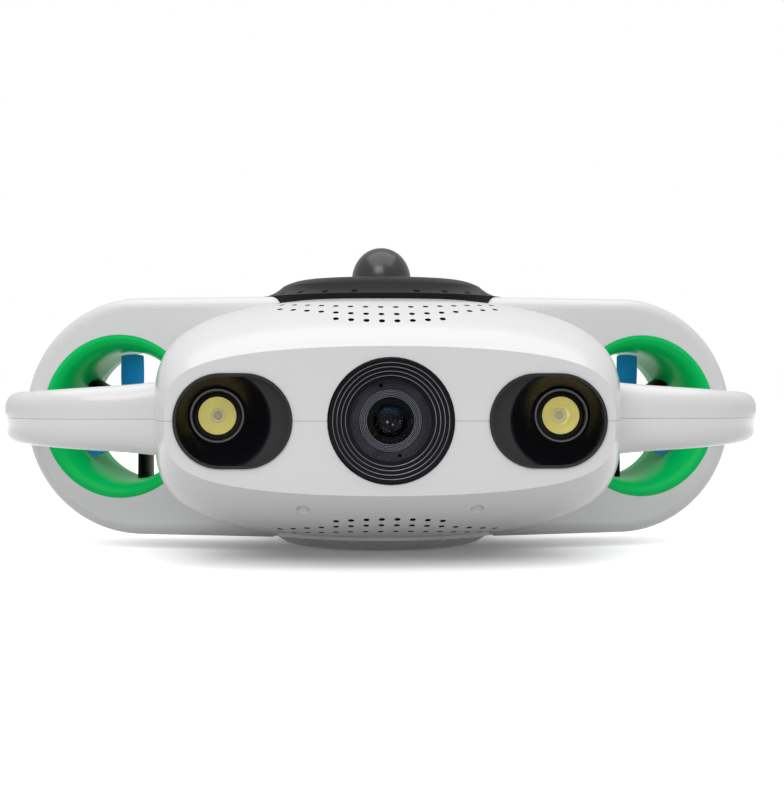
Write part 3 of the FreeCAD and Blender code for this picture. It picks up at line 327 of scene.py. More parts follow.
def window_finish(tint):
    """Clear optical plastic with a faint surface haze; light passes on to what lies behind."""
    _, tree, shader = principled("clear_window", Transmission_Weight=1.0, IOR=1.06,
                                 Specular_IOR_Level=0.5)
    skin = place_group(tree, SKIN["moulded"], Peel=0.02, Waviness=0.0, Polish=0.0, Spread=0.04)
    tree.links.new(skin.outputs["Roughness"], shader.inputs["Roughness"])
    tone = mix_colours(tree, skin.outputs["Mottle"], tint, shade(tint, 0.985))
    tree.links.new(tone, shader.inputs["Base Color"])
    path = tree.nodes.new("ShaderNodeLightPath")
    either = add(tree, "ShaderNodeMath", operation="MAXIMUM")
    clear = tree.nodes.new("ShaderNodeBsdfTransparent")
    blend = tree.nodes.new("ShaderNodeMixShader")
    tree.links.new(path.outputs["Is Shadow Ray"], either.inputs[0])
    tree.links.new(path.outputs["Is Diffuse Ray"], either.inputs[1])
    bounced = add(tree, "ShaderNodeMath", operation="MAXIMUM")
    tree.links.new(either.outputs[0], bounced.inputs[0])
    tree.links.new(path.outputs["Is Glossy Ray"], bounced.inputs[1])
    tree.links.new(bounced.outputs[0], blend.inputs[0])
    tree.links.new(shader.outputs[0], blend.inputs[1])
    tree.links.new(clear.outputs[0], blend.inputs[2])
    tree.links.new(blend.outputs[0], tree.nodes["Material Output"].inputs["Surface"])


def bezel_finish(base):
    """Lamp bezel: satin black, with painted light and shade that make it lighter on the shelf
    and rim and near black down the well.
    """
    _, tree, shader, tone = moulded("lamp_bezel_black", base, contrast=0.10, peel=0.03,
                                    wave=0.02, polish=0.14, spread=0.10,
                                    Specular_IOR_Level=0.16)
    # Painted light and shade: lighter close to the front face, near black deeper down the well.
    painted_shade_ramp = fade(tree, object_axis(tree, "Y"), NOSE_Y + 4.0 * MM, NOSE_Y + 1.5 * MM)
    lit = mix_colours(tree, painted_shade_ramp, tone, (0.028, 0.028, 0.029))
    tree.links.new(lit, shader.inputs["Base Color"])


def lens_finish():
    """Coated objective: near black, with a painted cool sheen above the middle and two small
    painted glints.
    """
    _, tree, shader = principled("lens_glass", IOR=1.25, Specular_IOR_Level=0.3)
    # Painted sheen: the glass turns cooler and lighter above the middle.
    painted_sheen_mask = fade(tree, object_axis(tree, "Z"), SEAM_Z + 0.5 * MM, SEAM_Z + 6.0 * MM)
    skin = place_group(tree, SKIN["moulded"], Peel=0.0, Waviness=0.0, Polish=0.03, Spread=0.03)
    tone = mix_colours(tree, painted_sheen_mask, (0.0035, 0.0035, 0.005), (0.008, 0.020, 0.034))
    # Painted reflections: two small coloured glints at fixed points on the lens face.
    front = -132.6 * MM
    painted_glints = (((-1.6 * MM, front, SEAM_Z - 0.8 * MM), 1.1 * MM, (0.55, 0.22, 0.26)),
              ((1.2 * MM, front, SEAM_Z - 2.2 * MM), 0.8 * MM, (0.22, 0.42, 0.36)))
    for middle, reach, tint in painted_glints:
        tone = mix_colours(tree, distance_fade(tree, middle, 0.0, reach, 1.0, 0.0), tone, tint)
    tree.links.new(tone, shader.inputs["Base Color"])
    tree.links.new(skin.outputs["Roughness"], shader.inputs["Roughness"])


def board_finish():
    """Green solder mask with pale copper tracks."""
    _, tree, shader = principled("circuit_board", Specular_IOR_Level=0.5)
    place = add(tree, "ShaderNodeTexCoord")
    tracks = add(tree, "ShaderNodeTexBrick", Scale=220.0, Mortar_Size=0.06)
    tree.links.new(place.outputs["Object"], tracks.inputs["Vector"])
    tone = mix_colours(tree, tracks.outputs["Fac"], (0.01, 0.10, 0.035), (0.05, 0.26, 0.09))
    tree.links.new(tone, shader.inputs["Base Color"])
    skin = place_group(tree, SKIN["moulded"], Peel=0.05, Waviness=0.0, Polish=0.3, Spread=0.2)
    tree.links.new(skin.outputs["Roughness"], shader.inputs["Roughness"])


def wound_copper():
    """Lacquered copper wire, wound in close turns."""
    _, tree, shader = principled("motor_copper", Metallic=1.0)
    place = add(tree, "ShaderNodeTexCoord")
    turns = add(tree, "ShaderNodeTexWave", wave_type="BANDS", bands_direction="DIAGONAL",
                Scale=500.0)
    bump = add(tree, "ShaderNodeBump", Strength=0.6, Distance=0.0002)
    tree.links.new(place.outputs["Object"], turns.inputs["Vector"])
    tree.links.new(turns.outputs["Fac"], bump.inputs["Height"])
    tree.links.new(bump.outputs["Normal"], shader.inputs["Normal"])
    tone = mix_colours(tree, turns.outputs["Fac"], (0.30, 0.10, 0.03), (0.75, 0.33, 0.12))
    tree.links.new(tone, shader.inputs["Base Color"])
    skin = place_group(tree, SKIN["moulded"], Peel=0.0, Waviness=0.0, Polish=0.25, Spread=0.1)
    tree.links.new(skin.outputs["Roughness"], shader.inputs["Roughness"])


class FINISH_OT_materials(bpy.types.Operator):
    """Make every finish and give each solid of the frame its own"""
    bl_idname = "rov.materials"
    bl_label = "Finishes"
    bl_options = {"REGISTER", "UNDO"}

    def execute(self, context):
        colours = context.scene.rov_colours
        SKIN["moulded"] = moulded_skin_group()
        SKIN["parting"] = parting_line_group()
        hull_finish(tuple(colours.hull))
        moulded("green_duct", tuple(colours.duct), contrast=0.10, polish=0.30, spread=0.10,
                Specular_IOR_Level=0.12)
        moulded("blue_propeller", tuple(colours.propeller), contrast=0.10, polish=0.26,
                spread=0.10, Specular_IOR_Level=0.2)
        moulded("black_plastic", tuple(colours.cover), contrast=0.15, peel=0.08, polish=0.34,
                spread=0.10, Specular_IOR_Level=0.12)
        moulded("black_gloss", tuple(colours.trim), contrast=0.10, peel=0.03, wave=0.02,
                polish=0.12, spread=0.10, Specular_IOR_Level=0.08)
        moulded("grey_ring", (0.042, 0.042, 0.056), contrast=0.12, peel=0.05, polish=0.36,
                spread=0.12, Specular_IOR_Level=0.15)
        # Lighter grey for edges of black parts: partly painted highlight.
        moulded("painted_highlight_grey", (0.24, 0.24, 0.28), contrast=0.3, peel=0.0, polish=0.22,
                spread=0.2, Metallic=0.6)
        moulded("emitter_silver", (0.82, 0.78, 0.74), contrast=0.15, peel=0.1, polish=0.3,
                spread=0.1, Metallic=0.2)
        # Near black for a thin mask ring, and painted shade on hole walls and behind holes.
        moulded("black_mask_and_painted_shade", (0.006, 0.006, 0.006), contrast=0.3, peel=0.3, polish=0.6,
                spread=0.2, Specular_IOR_Level=0.05)
        moulded("beacon_black", (0.010, 0.010, 0.011), contrast=0.1, peel=0.02, polish=0.22,
                spread=0.06, Specular_IOR_Level=0.8)
        # The reflectors glow faintly in their own colour, though they are no lamp: painted
        # light.
        moulded("lamp_yellow", tuple(colours.reflector), contrast=0.14, peel=0.5, wave=0.2,
                polish=0.22, spread=0.16, Metallic=0.25,
                Emission_Color=(*colours.reflector, 1.0), Emission_Strength=0.15)
        moulded("lamp_emitter", (0.85, 0.78, 0.30), contrast=0.25, peel=0.8, wave=0.5,
                polish=0.35, spread=0.2)
        moulded("seal_rubber", (0.016, 0.016, 0.017), contrast=0.2, peel=0.5, polish=0.55,
                spread=0.2)
        moulded("battery_wrap", (0.02, 0.045, 0.16), contrast=0.12, peel=0.3, polish=0.22,
                spread=0.15)
        turned_metal("housing_metal", (0.42, 0.43, 0.45), 0.32, "Y")
        turned_metal("bearing_steel", (0.55, 0.55, 0.56), 0.18)
        turned_metal("shaft_steel", (0.52, 0.52, 0.53), 0.22)
        turned_metal("magnet_steel", (0.30, 0.30, 0.31), 0.34)
        turned_metal("screw_steel", (0.50, 0.50, 0.51), 0.24)
        window_finish(tuple(colours.glass))
        bezel_finish(tuple(colours.trim))
        lens_finish()
        board_finish()
        wound_copper()
        special = {"front_lens": "lens_glass", "left_lamp_bezel": "lamp_bezel_black",
                   "right_lamp_bezel": "lamp_bezel_black"}
        for part in frame["record"]["subparts"]:
            piece = frame["nodes"][part["node"]]
            wanted = special.get(part["node"], part["material_slot"])
            for holder in piece.material_slots:
                holder.material = MATERIALS[wanted]
        return {"FINISHED"}


# ---- Perforations --------------------------------------------------------------------
def plain_mesh(holder, name):
    """The evaluated object as a plain mesh object; the source object is removed."""
    graph = bpy.context.evaluated_depsgraph_get()
    mesh = bpy.data.meshes.new_from_object(holder.evaluated_get(graph))
    mesh.name = name
    result = bpy.data.objects.new(name, mesh)
    bpy.context.scene.collection.objects.link(result)
    bpy.data.objects.remove(holder)
    return result


def run_tree(tree, name, **values):
    """Plain mesh from a Geometry Nodes tree, with its inputs set by identifier."""
    holder = bpy.data.objects.new(name + "_source", bpy.data.meshes.new(name + "_source"))
    bpy.context.scene.collection.objects.link(holder)
    modifier = holder.modifiers.new("layout", "NODES")
    modifier.node_group = tree
    sockets = {item.name: item.identifier for item in tree.interface.items_tree
               if item.item_type == "SOCKET" and item.in_out == "INPUT"}
    for label, value in values.items():
        modifier[sockets[label.replace("_", " ")]] = value
    return plain_mesh(holder, name)


def geometry_tree(name, inputs):
    """Empty Geometry Nodes tree; inputs are (name, socket type)."""
    tree = bpy.data.node_groups.new(name, "GeometryNodeTree")
    for label, kind in inputs:
        tree.interface.new_socket(label, in_out="INPUT", socket_type=kind)
    tree.interface.new_socket("Geometry", in_out="OUTPUT", socket_type="NodeSocketGeometry")
    return tree, tree.nodes.new("NodeGroupInput"), tree.nodes.new("NodeGroupOutput")


def close_tree(tree, given, out, geometry):
    """End a tree in Realize Instances and Set Material."""
    real = tree.nodes.new("GeometryNodeRealizeInstances")
    paint = tree.nodes.new("GeometryNodeSetMaterial")
    tree.links.new(geometry, real.inputs["Geometry"])
    tree.links.new(real.outputs["Geometry"], paint.inputs["Geometry"])
    tree.links.new(given.outputs["Material"], paint.inputs["Material"])
    tree.links.new(paint.outputs["Geometry"], out.inputs["Geometry"])


def water_hole_tree():
    """Pins on an arc ahead of the round cover, Pitch apart, to cut a row of water holes."""
    tree, given, out = geometry_tree("water hole row", [
        ("Circle", "NodeSocketFloat"), ("Pitch", "NodeSocketFloat"),
        ("Count", "NodeSocketInt"), ("Radius", "NodeSocketFloat"),
        ("Middle height", "NodeSocketFloat"), ("Depth", "NodeSocketFloat"),
        ("Material", "NodeSocketMaterial")])
    link = tree.links.new
    row = add(tree, "GeometryNodeMeshLine")
    pin = add(tree, "GeometryNodeMeshCylinder")
    pin.inputs["Vertices"].default_value = 20
    link(given.outputs["Count"], row.inputs["Count"])
    link(given.outputs["Radius"], pin.inputs["Radius"])
    link(given.outputs["Depth"], pin.inputs["Depth"])

    def maths(operation, *sources):
        node = add(tree, "ShaderNodeMath", operation=operation)
        for slot, source in enumerate(sources):
            if isinstance(source, bpy.types.NodeSocket):
                link(source, node.inputs[slot])
            else:
                node.inputs[slot].default_value = source
        return node.outputs[0]

    index = add(tree, "GeometryNodeInputIndex").outputs[0]
    middle = maths("MULTIPLY", maths("SUBTRACT", given.outputs["Count"], 1.0), 0.5)
    step = maths("DIVIDE", given.outputs["Pitch"], given.outputs["Circle"])
    angle = maths("MULTIPLY", maths("SUBTRACT", index, middle), step)
    place = add(tree, "ShaderNodeCombineXYZ")
    link(maths("MULTIPLY", maths("SINE", angle), given.outputs["Circle"]), place.inputs["X"])
    link(maths("MULTIPLY", maths("COSINE", angle),
               maths("MULTIPLY", given.outputs["Circle"], -1.0)), place.inputs["Y"])
    link(given.outputs["Middle height"], place.inputs["Z"])
    spread = add(tree, "GeometryNodeSetPosition")
    link(row.outputs["Mesh"], spread.inputs["Geometry"])
    link(place.outputs[0], spread.inputs["Position"])
    pins = add(tree, "GeometryNodeInstanceOnPoints")
    link(spread.outputs["Geometry"], pins.inputs["Points"])
    link(pin.outputs["Mesh"], pins.inputs["Instance"])
    close_tree(tree, given, out, pins.outputs["Instances"])
    return tree


def merged_copy(source, name):
    """Copy of a solid's mesh with its split corners joined."""
    form = bmesh.new()
    form.from_mesh(source.data)
    bmesh.ops.remove_doubles(form, verts=form.verts, dist=SAME_CORNER)
    mesh = bpy.data.meshes.new(name)
    form.to_mesh(mesh)
    form.free()
    piece = bpy.data.objects.new(name, mesh)
    bpy.context.scene.collection.objects.link(piece)
    return piece


def carry_normals(source, result):
    """Give each corner of result the smooth normal that the source solid has there."""
    origin = source.data
    surface = BVHTree.FromPolygons([v.co for v in origin.vertices],
                                   [tuple(p.vertices) for p in origin.polygons])
    corners = KDTree(len(origin.loops))
    owner = {}
    for polygon in origin.polygons:
        for loop in polygon.loop_indices:
            corners.insert(origin.vertices[origin.loops[loop].vertex_index].co, loop)
            owner[loop] = polygon
    corners.balance()
    mesh = result.data
    mesh.shade_smooth()
    normals = [None] * len(mesh.loops)
    for polygon in mesh.polygons:
        facing = polygon.normal
        for loop in polygon.loop_indices:
            spot = mesh.vertices[mesh.loops[loop].vertex_index].co
            best, score = None, SAME_SIDE
            for _, index, _ in corners.find_range(spot, NEAR_CORNER):
                match = owner[index].normal.dot(facing)
                if match > score:
                    best, score = origin.corner_normals[index].vector.copy(), match
            if best is None:
                hit, _, index, _ = surface.find_nearest(spot)
                face = origin.polygons[index]
                if face.normal.dot(facing) > SAME_SIDE and len(face.vertices) == 3:
                    ends = [origin.vertices[v].co for v in face.vertices]
                    turns = [origin.corner_normals[i].vector for i in face.loop_indices]
                    best = barycentric_transform(hit, *ends, *turns).normalized()
                else:
                    best = facing.copy()
            normals[loop] = best
    mesh.normals_split_custom_set(normals)


def perforate(tree, node, height):
    """Copy of a hull half with its three rows of water holes cut through the slope, their walls
    near black as painted shade.
    """
    sizes = bpy.context.scene.rov_perforations
    source = frame["nodes"][node]
    body = merged_copy(source, node + "_copy")
    rows = ((sizes.circle_a, sizes.count_long), (sizes.circle_b, sizes.count_long),
            (sizes.circle_c, sizes.count_short))
    cutters = []
    for circle, count in rows:
        # The pins give the hole walls a near-black finish: painted shade inside the water holes.
        pins = run_tree(tree, "water_holes", Circle=circle, Pitch=sizes.pitch, Count=count,
                        Radius=sizes.radius, Middle_height=height,
                        Depth=PIN_LENGTH * MM, Material=MATERIALS["black_mask_and_painted_shade"])
        cut = body.modifiers.new("water holes", "BOOLEAN")
        cut.operation = "DIFFERENCE"
        cut.solver = "EXACT"
        cut.material_mode = "TRANSFER"
        cut.object = pins
        cutters.append(pins)
    body.data.materials.append(MATERIALS["white_hull"])
    result = plain_mesh(body, node + "_perforated")
    for pins in cutters:
        bpy.data.objects.remove(pins)
    carry_normals(source, result)
    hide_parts(node)
    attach(result, "root")


def shade_by_angle(mesh, degrees):
    """Smooth shading with sharp edges where faces meet at more than the angle."""
    mesh.shade_smooth()
    mesh.set_sharp_from_angle(angle=math.radians(degrees))


class HULL_OT_water_holes(bpy.types.Operator):
    """Cut the rows of water holes in the slopes of both hull halves"""
    bl_idname = "rov.water_holes"
    bl_label = "Water holes"
    bl_options = {"REGISTER", "UNDO"}

    def execute(self, context):
        tree = water_hole_tree()
        perforate(tree, "upper_shell", SEAM_Z + SLOPE_HEIGHT * MM)
        perforate(tree, "lower_shell", SEAM_Z - SLOPE_HEIGHT * MM)
        return {"FINISHED"}


# ---- Turned and ringed pieces --------------------------------------------------------
def turned(name, profile, centre, axis, steps=96):
    """Closed piece turned from (radius, distance) points about an axis through centre."""
    form = bmesh.new()
    turn = Vector((0, 0, 1)).rotation_difference(Vector(axis)).to_matrix().to_4x4()
    place = Matrix.Translation(Vector(centre)) @ turn
    rings = []
    for radius, distance in profile:
        if radius <= 0.0:
            rings.append([form.verts.new(place @ Vector((0.0, 0.0, distance)))])
            continue
        ring = []
        for index in range(steps):
            angle = 2 * math.pi * index / steps
            spot = Vector((radius * math.cos(angle), radius * math.sin(angle), distance))
            ring.append(form.verts.new(place @ spot))
        rings.append(ring)
    closed = profile[0][0] > 0.0
    pairs = list(zip(rings, rings[1:] + ([rings[0]] if closed else [])))
    for first, second in (pairs if closed else pairs[:len(rings) - 1]):
        for index in range(steps):
            after = (index + 1) % steps
            corners = [first[index % len(first)], first[after % len(first)],
                       second[after % len(second)], second[index % len(second)]]
            kept = [spot for place_in, spot in enumerate(corners)
                    if spot not in corners[:place_in]]
            if len(kept) > 2:
                form.faces.new(kept)
    bmesh.ops.recalc_face_normals(form, faces=form.faces)
    mesh = bpy.data.meshes.new(name)
    form.to_mesh(mesh)
    form.free()
    shade_by_angle(mesh, 30)
    piece = bpy.data.objects.new(name, mesh)
    bpy.context.scene.collection.objects.link(piece)
    return piece


def finish_piece(piece, material, body="root"):
    """Give a piece its finish and the body that carries it."""
    if not piece.data.materials:
        piece.data.materials.append(MATERIALS[material])
    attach(piece, body)
    return piece


def ring_stack_tree():
    """Round wires about the Y axis, each smaller and deeper than the one before."""
    tree, given, out = geometry_tree("ring stack", [
        ("Count", "NodeSocketInt"), ("First radius", "NodeSocketFloat"),
        ("Narrowing", "NodeSocketFloat"), ("First depth", "NodeSocketFloat"),
        ("Step depth", "NodeSocketFloat"), ("Wire", "NodeSocketFloat"),
        ("Middle", "NodeSocketVector"), ("Material", "NodeSocketMaterial")])
    link = tree.links.new
    stack = add(tree, "GeometryNodeMeshLine")
    link(given.outputs["Count"], stack.inputs["Count"])
    index = add(tree, "GeometryNodeInputIndex").outputs[0]
    depth = add(tree, "ShaderNodeMath", operation="MULTIPLY_ADD")
    link(index, depth.inputs[0])
    link(given.outputs["Step depth"], depth.inputs[1])
    link(given.outputs["First depth"], depth.inputs[2])
    place = add(tree, "ShaderNodeCombineXYZ")
    link(depth.outputs[0], place.inputs["Y"])
    about = add(tree, "ShaderNodeVectorMath", operation="ADD")
    link(place.outputs[0], about.inputs[0])
    link(given.outputs["Middle"], about.inputs[1])
    spread = add(tree, "GeometryNodeSetPosition")
    link(stack.outputs["Mesh"], spread.inputs["Geometry"])
    link(about.outputs[0], spread.inputs["Position"])
    size = add(tree, "ShaderNodeMath", operation="MULTIPLY_ADD")
    minus = add(tree, "ShaderNodeMath", operation="MULTIPLY")
    minus.inputs[1].default_value = -1.0
    link(given.outputs["Narrowing"], minus.inputs[0])
    link(index, size.inputs[0])
    link(minus.outputs[0], size.inputs[1])
    link(given.outputs["First radius"], size.inputs[2])
    hoop = add(tree, "GeometryNodeCurvePrimitiveCircle")
    hoop.inputs["Resolution"].default_value = 128
    hoop.inputs["Radius"].default_value = 1.0
    upright = add(tree, "GeometryNodeTransform")
    upright.inputs["Rotation"].default_value = (math.pi / 2, 0.0, 0.0)
    link(hoop.outputs["Curve"], upright.inputs["Geometry"])
    hoops = add(tree, "GeometryNodeInstanceOnPoints")
    link(spread.outputs["Geometry"], hoops.inputs["Points"])
    link(upright.outputs["Geometry"], hoops.inputs["Instance"])
    link(size.outputs[0], hoops.inputs["Scale"])
    real = add(tree, "GeometryNodeRealizeInstances")
    link(hoops.outputs["Instances"], real.inputs["Geometry"])
    section = add(tree, "GeometryNodeCurvePrimitiveCircle")
    section.inputs["Resolution"].default_value = 10
    link(given.outputs["Wire"], section.inputs["Radius"])
    wire = add(tree, "GeometryNodeCurveToMesh")
    link(real.outputs["Geometry"], wire.inputs["Curve"])
    link(section.outputs["Curve"], wire.inputs["Profile Curve"])
    close_tree(tree, given, out, wire.outputs["Mesh"])
    return tree


class PORT_OT_rings(bpy.types.Operator):
    """Lighter grey wires on the step edges of the port ring and fine rings of the objective,
    partly painted highlight, and two thin near-black rings
    """
    bl_idname = "rov.port_rings"
    bl_label = "Camera port rings"
    bl_options = {"REGISTER", "UNDO"}

    def execute(self, context):
        tree = ring_stack_tree()
        middle = (0.0, NOSE_Y, SEAM_Z)
        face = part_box("lens_barrel")[0].y - NOSE_Y
        # The wires are real edges and rings, but their lighter grey stands in for the highlights
        # along them: painted highlight.
        edges = run_tree(tree, "port_ring_edges", Count=4, First_radius=30.9 * MM,
                         Narrowing=2.25 * MM, First_depth=0.3 * MM, Step_depth=1.5 * MM,
                         Wire=0.38 * MM, Middle=middle, Material=MATERIALS["painted_highlight_grey"])
        shade_by_angle(edges.data, 60)
        finish_piece(edges, "painted_highlight_grey")
        fine = run_tree(tree, "objective_rings", Count=5, First_radius=16.3 * MM,
                        Narrowing=0.85 * MM, First_depth=face, Step_depth=0.0,
                        Wire=0.17 * MM, Middle=middle, Material=MATERIALS["painted_highlight_grey"])
        shade_by_angle(fine.data, 60)
        finish_piece(fine, "painted_highlight_grey")
        # A thin near-black ring lies on the barrel face round the lens, and another behind the
        # retainer makes its holes read dark: painted shade.
        masks = (("objective_mask", 9.3, 12.5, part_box("lens_barrel")[0].y - 0.12 * MM),
                 ("retainer_seat", 17.3, 22.2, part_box("lens_retainer")[1].y + 0.25 * MM))
        for name, inner, outer, y in masks:
            flat = [(inner, 0.0), (outer, 0.0), (outer, 0.09), (inner, 0.09)]
            mask = turned(name, [(r * MM, d * MM) for r, d in flat], (0, y, SEAM_Z), (0, 1, 0))
            finish_piece(mask, "black_mask_and_painted_shade")
        return {"FINISHED"}


def lamp_ring(name, profile, place, steps=96):
    """Ring turned about the axis of a lamp, ahead of the face at place."""
    return turned(name, [(radius * MM, ahead * MM) for radius, ahead in profile], place,
                  (0, -1, 0), steps)


class LAMP_OT_details(bpy.types.Operator):
    """Seat ring, window border and emitter ring of both lamps"""
    bl_idname = "rov.lamp_details"
    bl_label = "Lamp rings"
    bl_options = {"REGISTER", "UNDO"}

    def execute(self, context):
        emitter_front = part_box("lamp_emitters")[0].y
        for side in ("left", "right"):
            low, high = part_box(side + "_lamp_window")
            middle = (low + high) / 2
            face = (middle.x, low.y, middle.z)
            ring = lamp_ring(side + "_lamp_seat_ring", SEAT_RING, face)
            finish_piece(ring, "beacon_black")
            border = lamp_ring(side + "_lamp_window_border", WINDOW_BORDER, face)
            finish_piece(border, "black_gloss")
            rim = lamp_ring(side + "_emitter_ring", EMITTER_RING,
                            (middle.x, emitter_front, middle.z), 48)
            finish_piece(rim, "emitter_silver")
        return {"FINISHED"}


class MOUNT_OT_struts(bpy.types.Operator):
    """Side motor mounts with one strut pointing down, as they stand in the ducts"""
    bl_idname = "rov.motor_mounts"
    bl_label = "Motor mounts"
    bl_options = {"REGISTER", "UNDO"}

    def execute(self, context):
        joints = {joint["name"]: joint for joint in frame["record"]["behaviour"]["joints"]}
        for side in ("left", "right"):
            node = side + "_motor_mount"
            source = frame["nodes"][node]
            piece = merged_copy(source, node + "_turned")
            carry_normals(source, piece)
            spin = joints[side + "_propeller_spin"]
            pod = Matrix.Translation(spin["pos_m"])
            half_turn = Matrix.Rotation(math.pi, 4, Vector(spin["axis"]))
            piece.data.transform(pod @ half_turn @ pod.inverted())
            finish_piece(piece, "black_plastic")
            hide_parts(node)
        return {"FINISHED"}


class COVER_OT_beacon(bpy.types.Operator):
    """Half-round beacon on the middle of the top cover"""
    bl_idname = "rov.beacon"
    bl_label = "Beacon"
    bl_options = {"REGISTER", "UNDO"}

    def execute(self, context):
        low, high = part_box("top_dome")
        radius = (high.x - low.x) / 2
        height = high.z - low.z
        profile = [(0.0, 0.0), (radius, 0.0)]
        for step in range(1, 25):
            angle = step / 24 * math.pi / 2
            profile.append((radius * max(0.0, math.cos(angle)) ** 0.96,
                            height * math.sin(angle)))
        profile[-1] = (0.0, height)
        centre = (low + high) / 2
        beacon = turned("beacon", profile, (centre.x, centre.y, low.z), (0, 0, 1))
        finish_piece(beacon, "beacon_black")
        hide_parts("top_dome")
        return {"FINISHED"}


# ---- Stage ---------------------------------------------------------------------------
def softbox(name, place, aim, size, power):
    """Area light that points at a spot."""
    light = bpy.data.lights.new(name, "AREA")
    light.shape = "RECTANGLE"
    light.size, light.size_y = size
    light.energy = power
    holder = bpy.data.objects.new(name, light)
    holder.location = place
    holder.rotation_euler = (Vector(aim) - Vector(place)).to_track_quat("-Z", "Y").to_euler()
    bpy.context.scene.collection.objects.link(holder)


def seen_directly(tree, glossy, socket):
    """1 for the camera and through glass, the given share in mirrors, 0 for other light."""
    path = tree.nodes.new("ShaderNodeLightPath")
    seen = add(tree, "ShaderNodeMath", operation="MAXIMUM")
    mirror = add(tree, "ShaderNodeMath", operation="MULTIPLY")
    mirror.inputs[1].default_value = glossy
    both = add(tree, "ShaderNodeMath", operation="MAXIMUM")
    tree.links.new(path.outputs["Is Camera Ray"], seen.inputs[0])
    tree.links.new(path.outputs["Is Transmission Ray"], seen.inputs[1])
    tree.links.new(path.outputs["Is Glossy Ray"], mirror.inputs[0])
    tree.links.new(seen.outputs[0], both.inputs[0])
    tree.links.new(mirror.outputs[0], both.inputs[1])
    tree.links.new(both.outputs[0], socket)


def floor_finish(glow_level):
    """Pale matt floor that fades to plain white and is clear from below, with a painted shadow:
    less glow round the middle under the vehicle.
    """
    finish = bpy.data.materials.new("pale_floor")
    finish.use_nodes = True
    tree = finish.node_tree
    link = tree.links.new
    shader = tree.nodes["Principled BSDF"]
    shader.inputs["Roughness"].default_value = 0.8
    shader.inputs["Specular IOR Level"].default_value = 0.1
    path = tree.nodes.new("ShaderNodeLightPath")
    tone = mix_colours(tree, path.outputs["Is Camera Ray"], (0.60, 0.60, 0.60),
                       (0.86, 0.86, 0.86))
    link(tone, shader.inputs["Base Color"])
    # Painted shadow: the glow is low near the middle under the vehicle and rises further out.
    painted_shade_ramp = distance_fade(tree, (0.0, -0.05, 0.0), 0.05, 0.21, glow_level, 6 * glow_level)
    wide = distance_fade(tree, (0.0, 0.0, 0.0), 0.5, 1.3, 0.0, 1.0)
    total = add(tree, "ShaderNodeMath", operation="ADD")
    boost = add(tree, "ShaderNodeMath", operation="MULTIPLY")
    glow = tree.nodes.new("ShaderNodeEmission")
    link(painted_shade_ramp, total.inputs[0])
    link(wide, total.inputs[1])
    link(total.outputs[0], boost.inputs[0])
    seen_directly(tree, 1.0, boost.inputs[1])
    link(boost.outputs[0], glow.inputs["Strength"])
    lit = tree.nodes.new("ShaderNodeAddShader")
    link(shader.outputs[0], lit.inputs[0])
    link(glow.outputs[0], lit.inputs[1])
    side = tree.nodes.new("ShaderNodeNewGeometry")
    clear = tree.nodes.new("ShaderNodeBsdfTransparent")
    blend = tree.nodes.new("ShaderNodeMixShader")
    link(side.outputs["Backfacing"], blend.inputs[0])
    link(lit.outputs[0], blend.inputs[1])
    link(clear.outputs[0], blend.inputs[2])
    link(blend.outputs[0], tree.nodes["Material Output"].inputs["Surface"])
    return finish


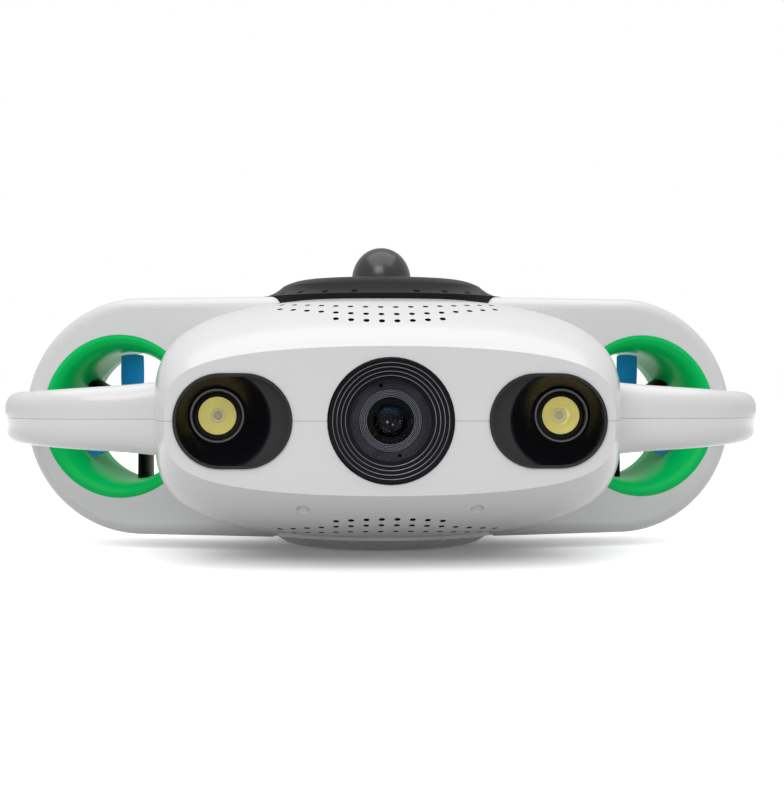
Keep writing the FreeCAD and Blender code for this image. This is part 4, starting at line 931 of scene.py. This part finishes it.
class STAGE_OT_studio(bpy.types.Operator):
    """Set the pale floor, the soft lights, the room and the camera"""
    bl_idname = "rov.studio"
    bl_label = "Studio"
    bl_options = {"REGISTER", "UNDO"}

    def execute(self, context):
        stage = context.scene.rov_stage
        scene = context.scene
        scene.view_settings.view_transform = "Standard"

        world = bpy.data.worlds.new("room")
        scene.world = world
        world.use_nodes = True
        tree = world.node_tree
        back = tree.nodes["Background"]
        back.inputs["Color"].default_value = (1.0, 1.0, 1.0, 1.0)
        strength = add(tree, "ShaderNodeMapRange")
        strength.inputs["To Min"].default_value = stage.world_level
        strength.inputs["To Max"].default_value = 1.0
        seen_directly(tree, 0.35, strength.inputs["Value"])
        tree.links.new(strength.outputs["Result"], back.inputs["Strength"])

        mesh = bpy.data.meshes.new("floor")
        form = bmesh.new()
        bmesh.ops.create_grid(form, x_segments=2, y_segments=2, size=5.0)
        form.to_mesh(mesh)
        form.free()
        floor = bpy.data.objects.new("floor", mesh)
        floor.location.z = -0.0002
        scene.collection.objects.link(floor)
        mesh.materials.append(floor_finish(stage.floor_glow))

        softbox("overhead_softbox", (0.0, -0.15, 1.35), (0.0, 0.0, 0.08), (1.9, 1.5),
                stage.key_power)
        softbox("front_softbox", (-0.35, -1.5, 1.25), (0.0, -0.1, 0.08), (1.0, 0.7),
                stage.fill_power)

        lens = bpy.data.cameras.new("camera")
        lens.lens = stage.lens
        lens.sensor_width = 36.0
        lens.clip_start = 0.05
        view = bpy.data.objects.new("camera", lens)
        view.location = stage.camera_place
        view.rotation_euler = (math.pi / 2 - stage.dip, 0.0, -stage.yaw)
        scene.collection.objects.link(view)
        scene.camera = view
        return {"FINISHED"}


# ---- Panel and run -------------------------------------------------------------------
class ROV_PT_panel(bpy.types.Panel):
    """Finishes, small parts and stage of the vehicle"""
    bl_idname = "ROV_PT_panel"
    bl_label = "Inspection ROV"
    bl_space_type = "VIEW_3D"
    bl_region_type = "UI"
    bl_category = "ROV"

    def draw(self, context):
        scene = context.scene
        for settings in (scene.rov_colours, scene.rov_perforations, scene.rov_stage):
            box = self.layout.box()
            for name in settings.__annotations__:
                box.prop(settings, name)
        for step in STEPS:
            self.layout.operator(step.bl_idname)


STEPS = (FINISH_OT_materials, HULL_OT_water_holes, PORT_OT_rings, LAMP_OT_details,
         MOUNT_OT_struts, COVER_OT_beacon, STAGE_OT_studio)
SETTINGS = (("rov_colours", RovColours), ("rov_perforations", RovPerforations),
            ("rov_stage", RovStage))


def register():
    """Register the settings, the operators and the panel."""
    for name, group in SETTINGS:
        bpy.utils.register_class(group)
        setattr(bpy.types.Scene, name, bpy.props.PointerProperty(type=group))
    for step in STEPS:
        bpy.utils.register_class(step)
    bpy.utils.register_class(ROV_PT_panel)


def unregister():
    """Take the panel, the operators and the settings away again."""
    bpy.utils.unregister_class(ROV_PT_panel)
    for step in reversed(STEPS):
        bpy.utils.unregister_class(step)
    for name, group in reversed(SETTINGS):
        delattr(bpy.types.Scene, name)
        bpy.utils.unregister_class(group)


def main():
    """Register the add-on and run every operator in order."""
    register()
    for step in STEPS:
        family, action = step.bl_idname.split(".")
        getattr(getattr(bpy.ops, family), action)()


if __name__ == "__main__":
    main()
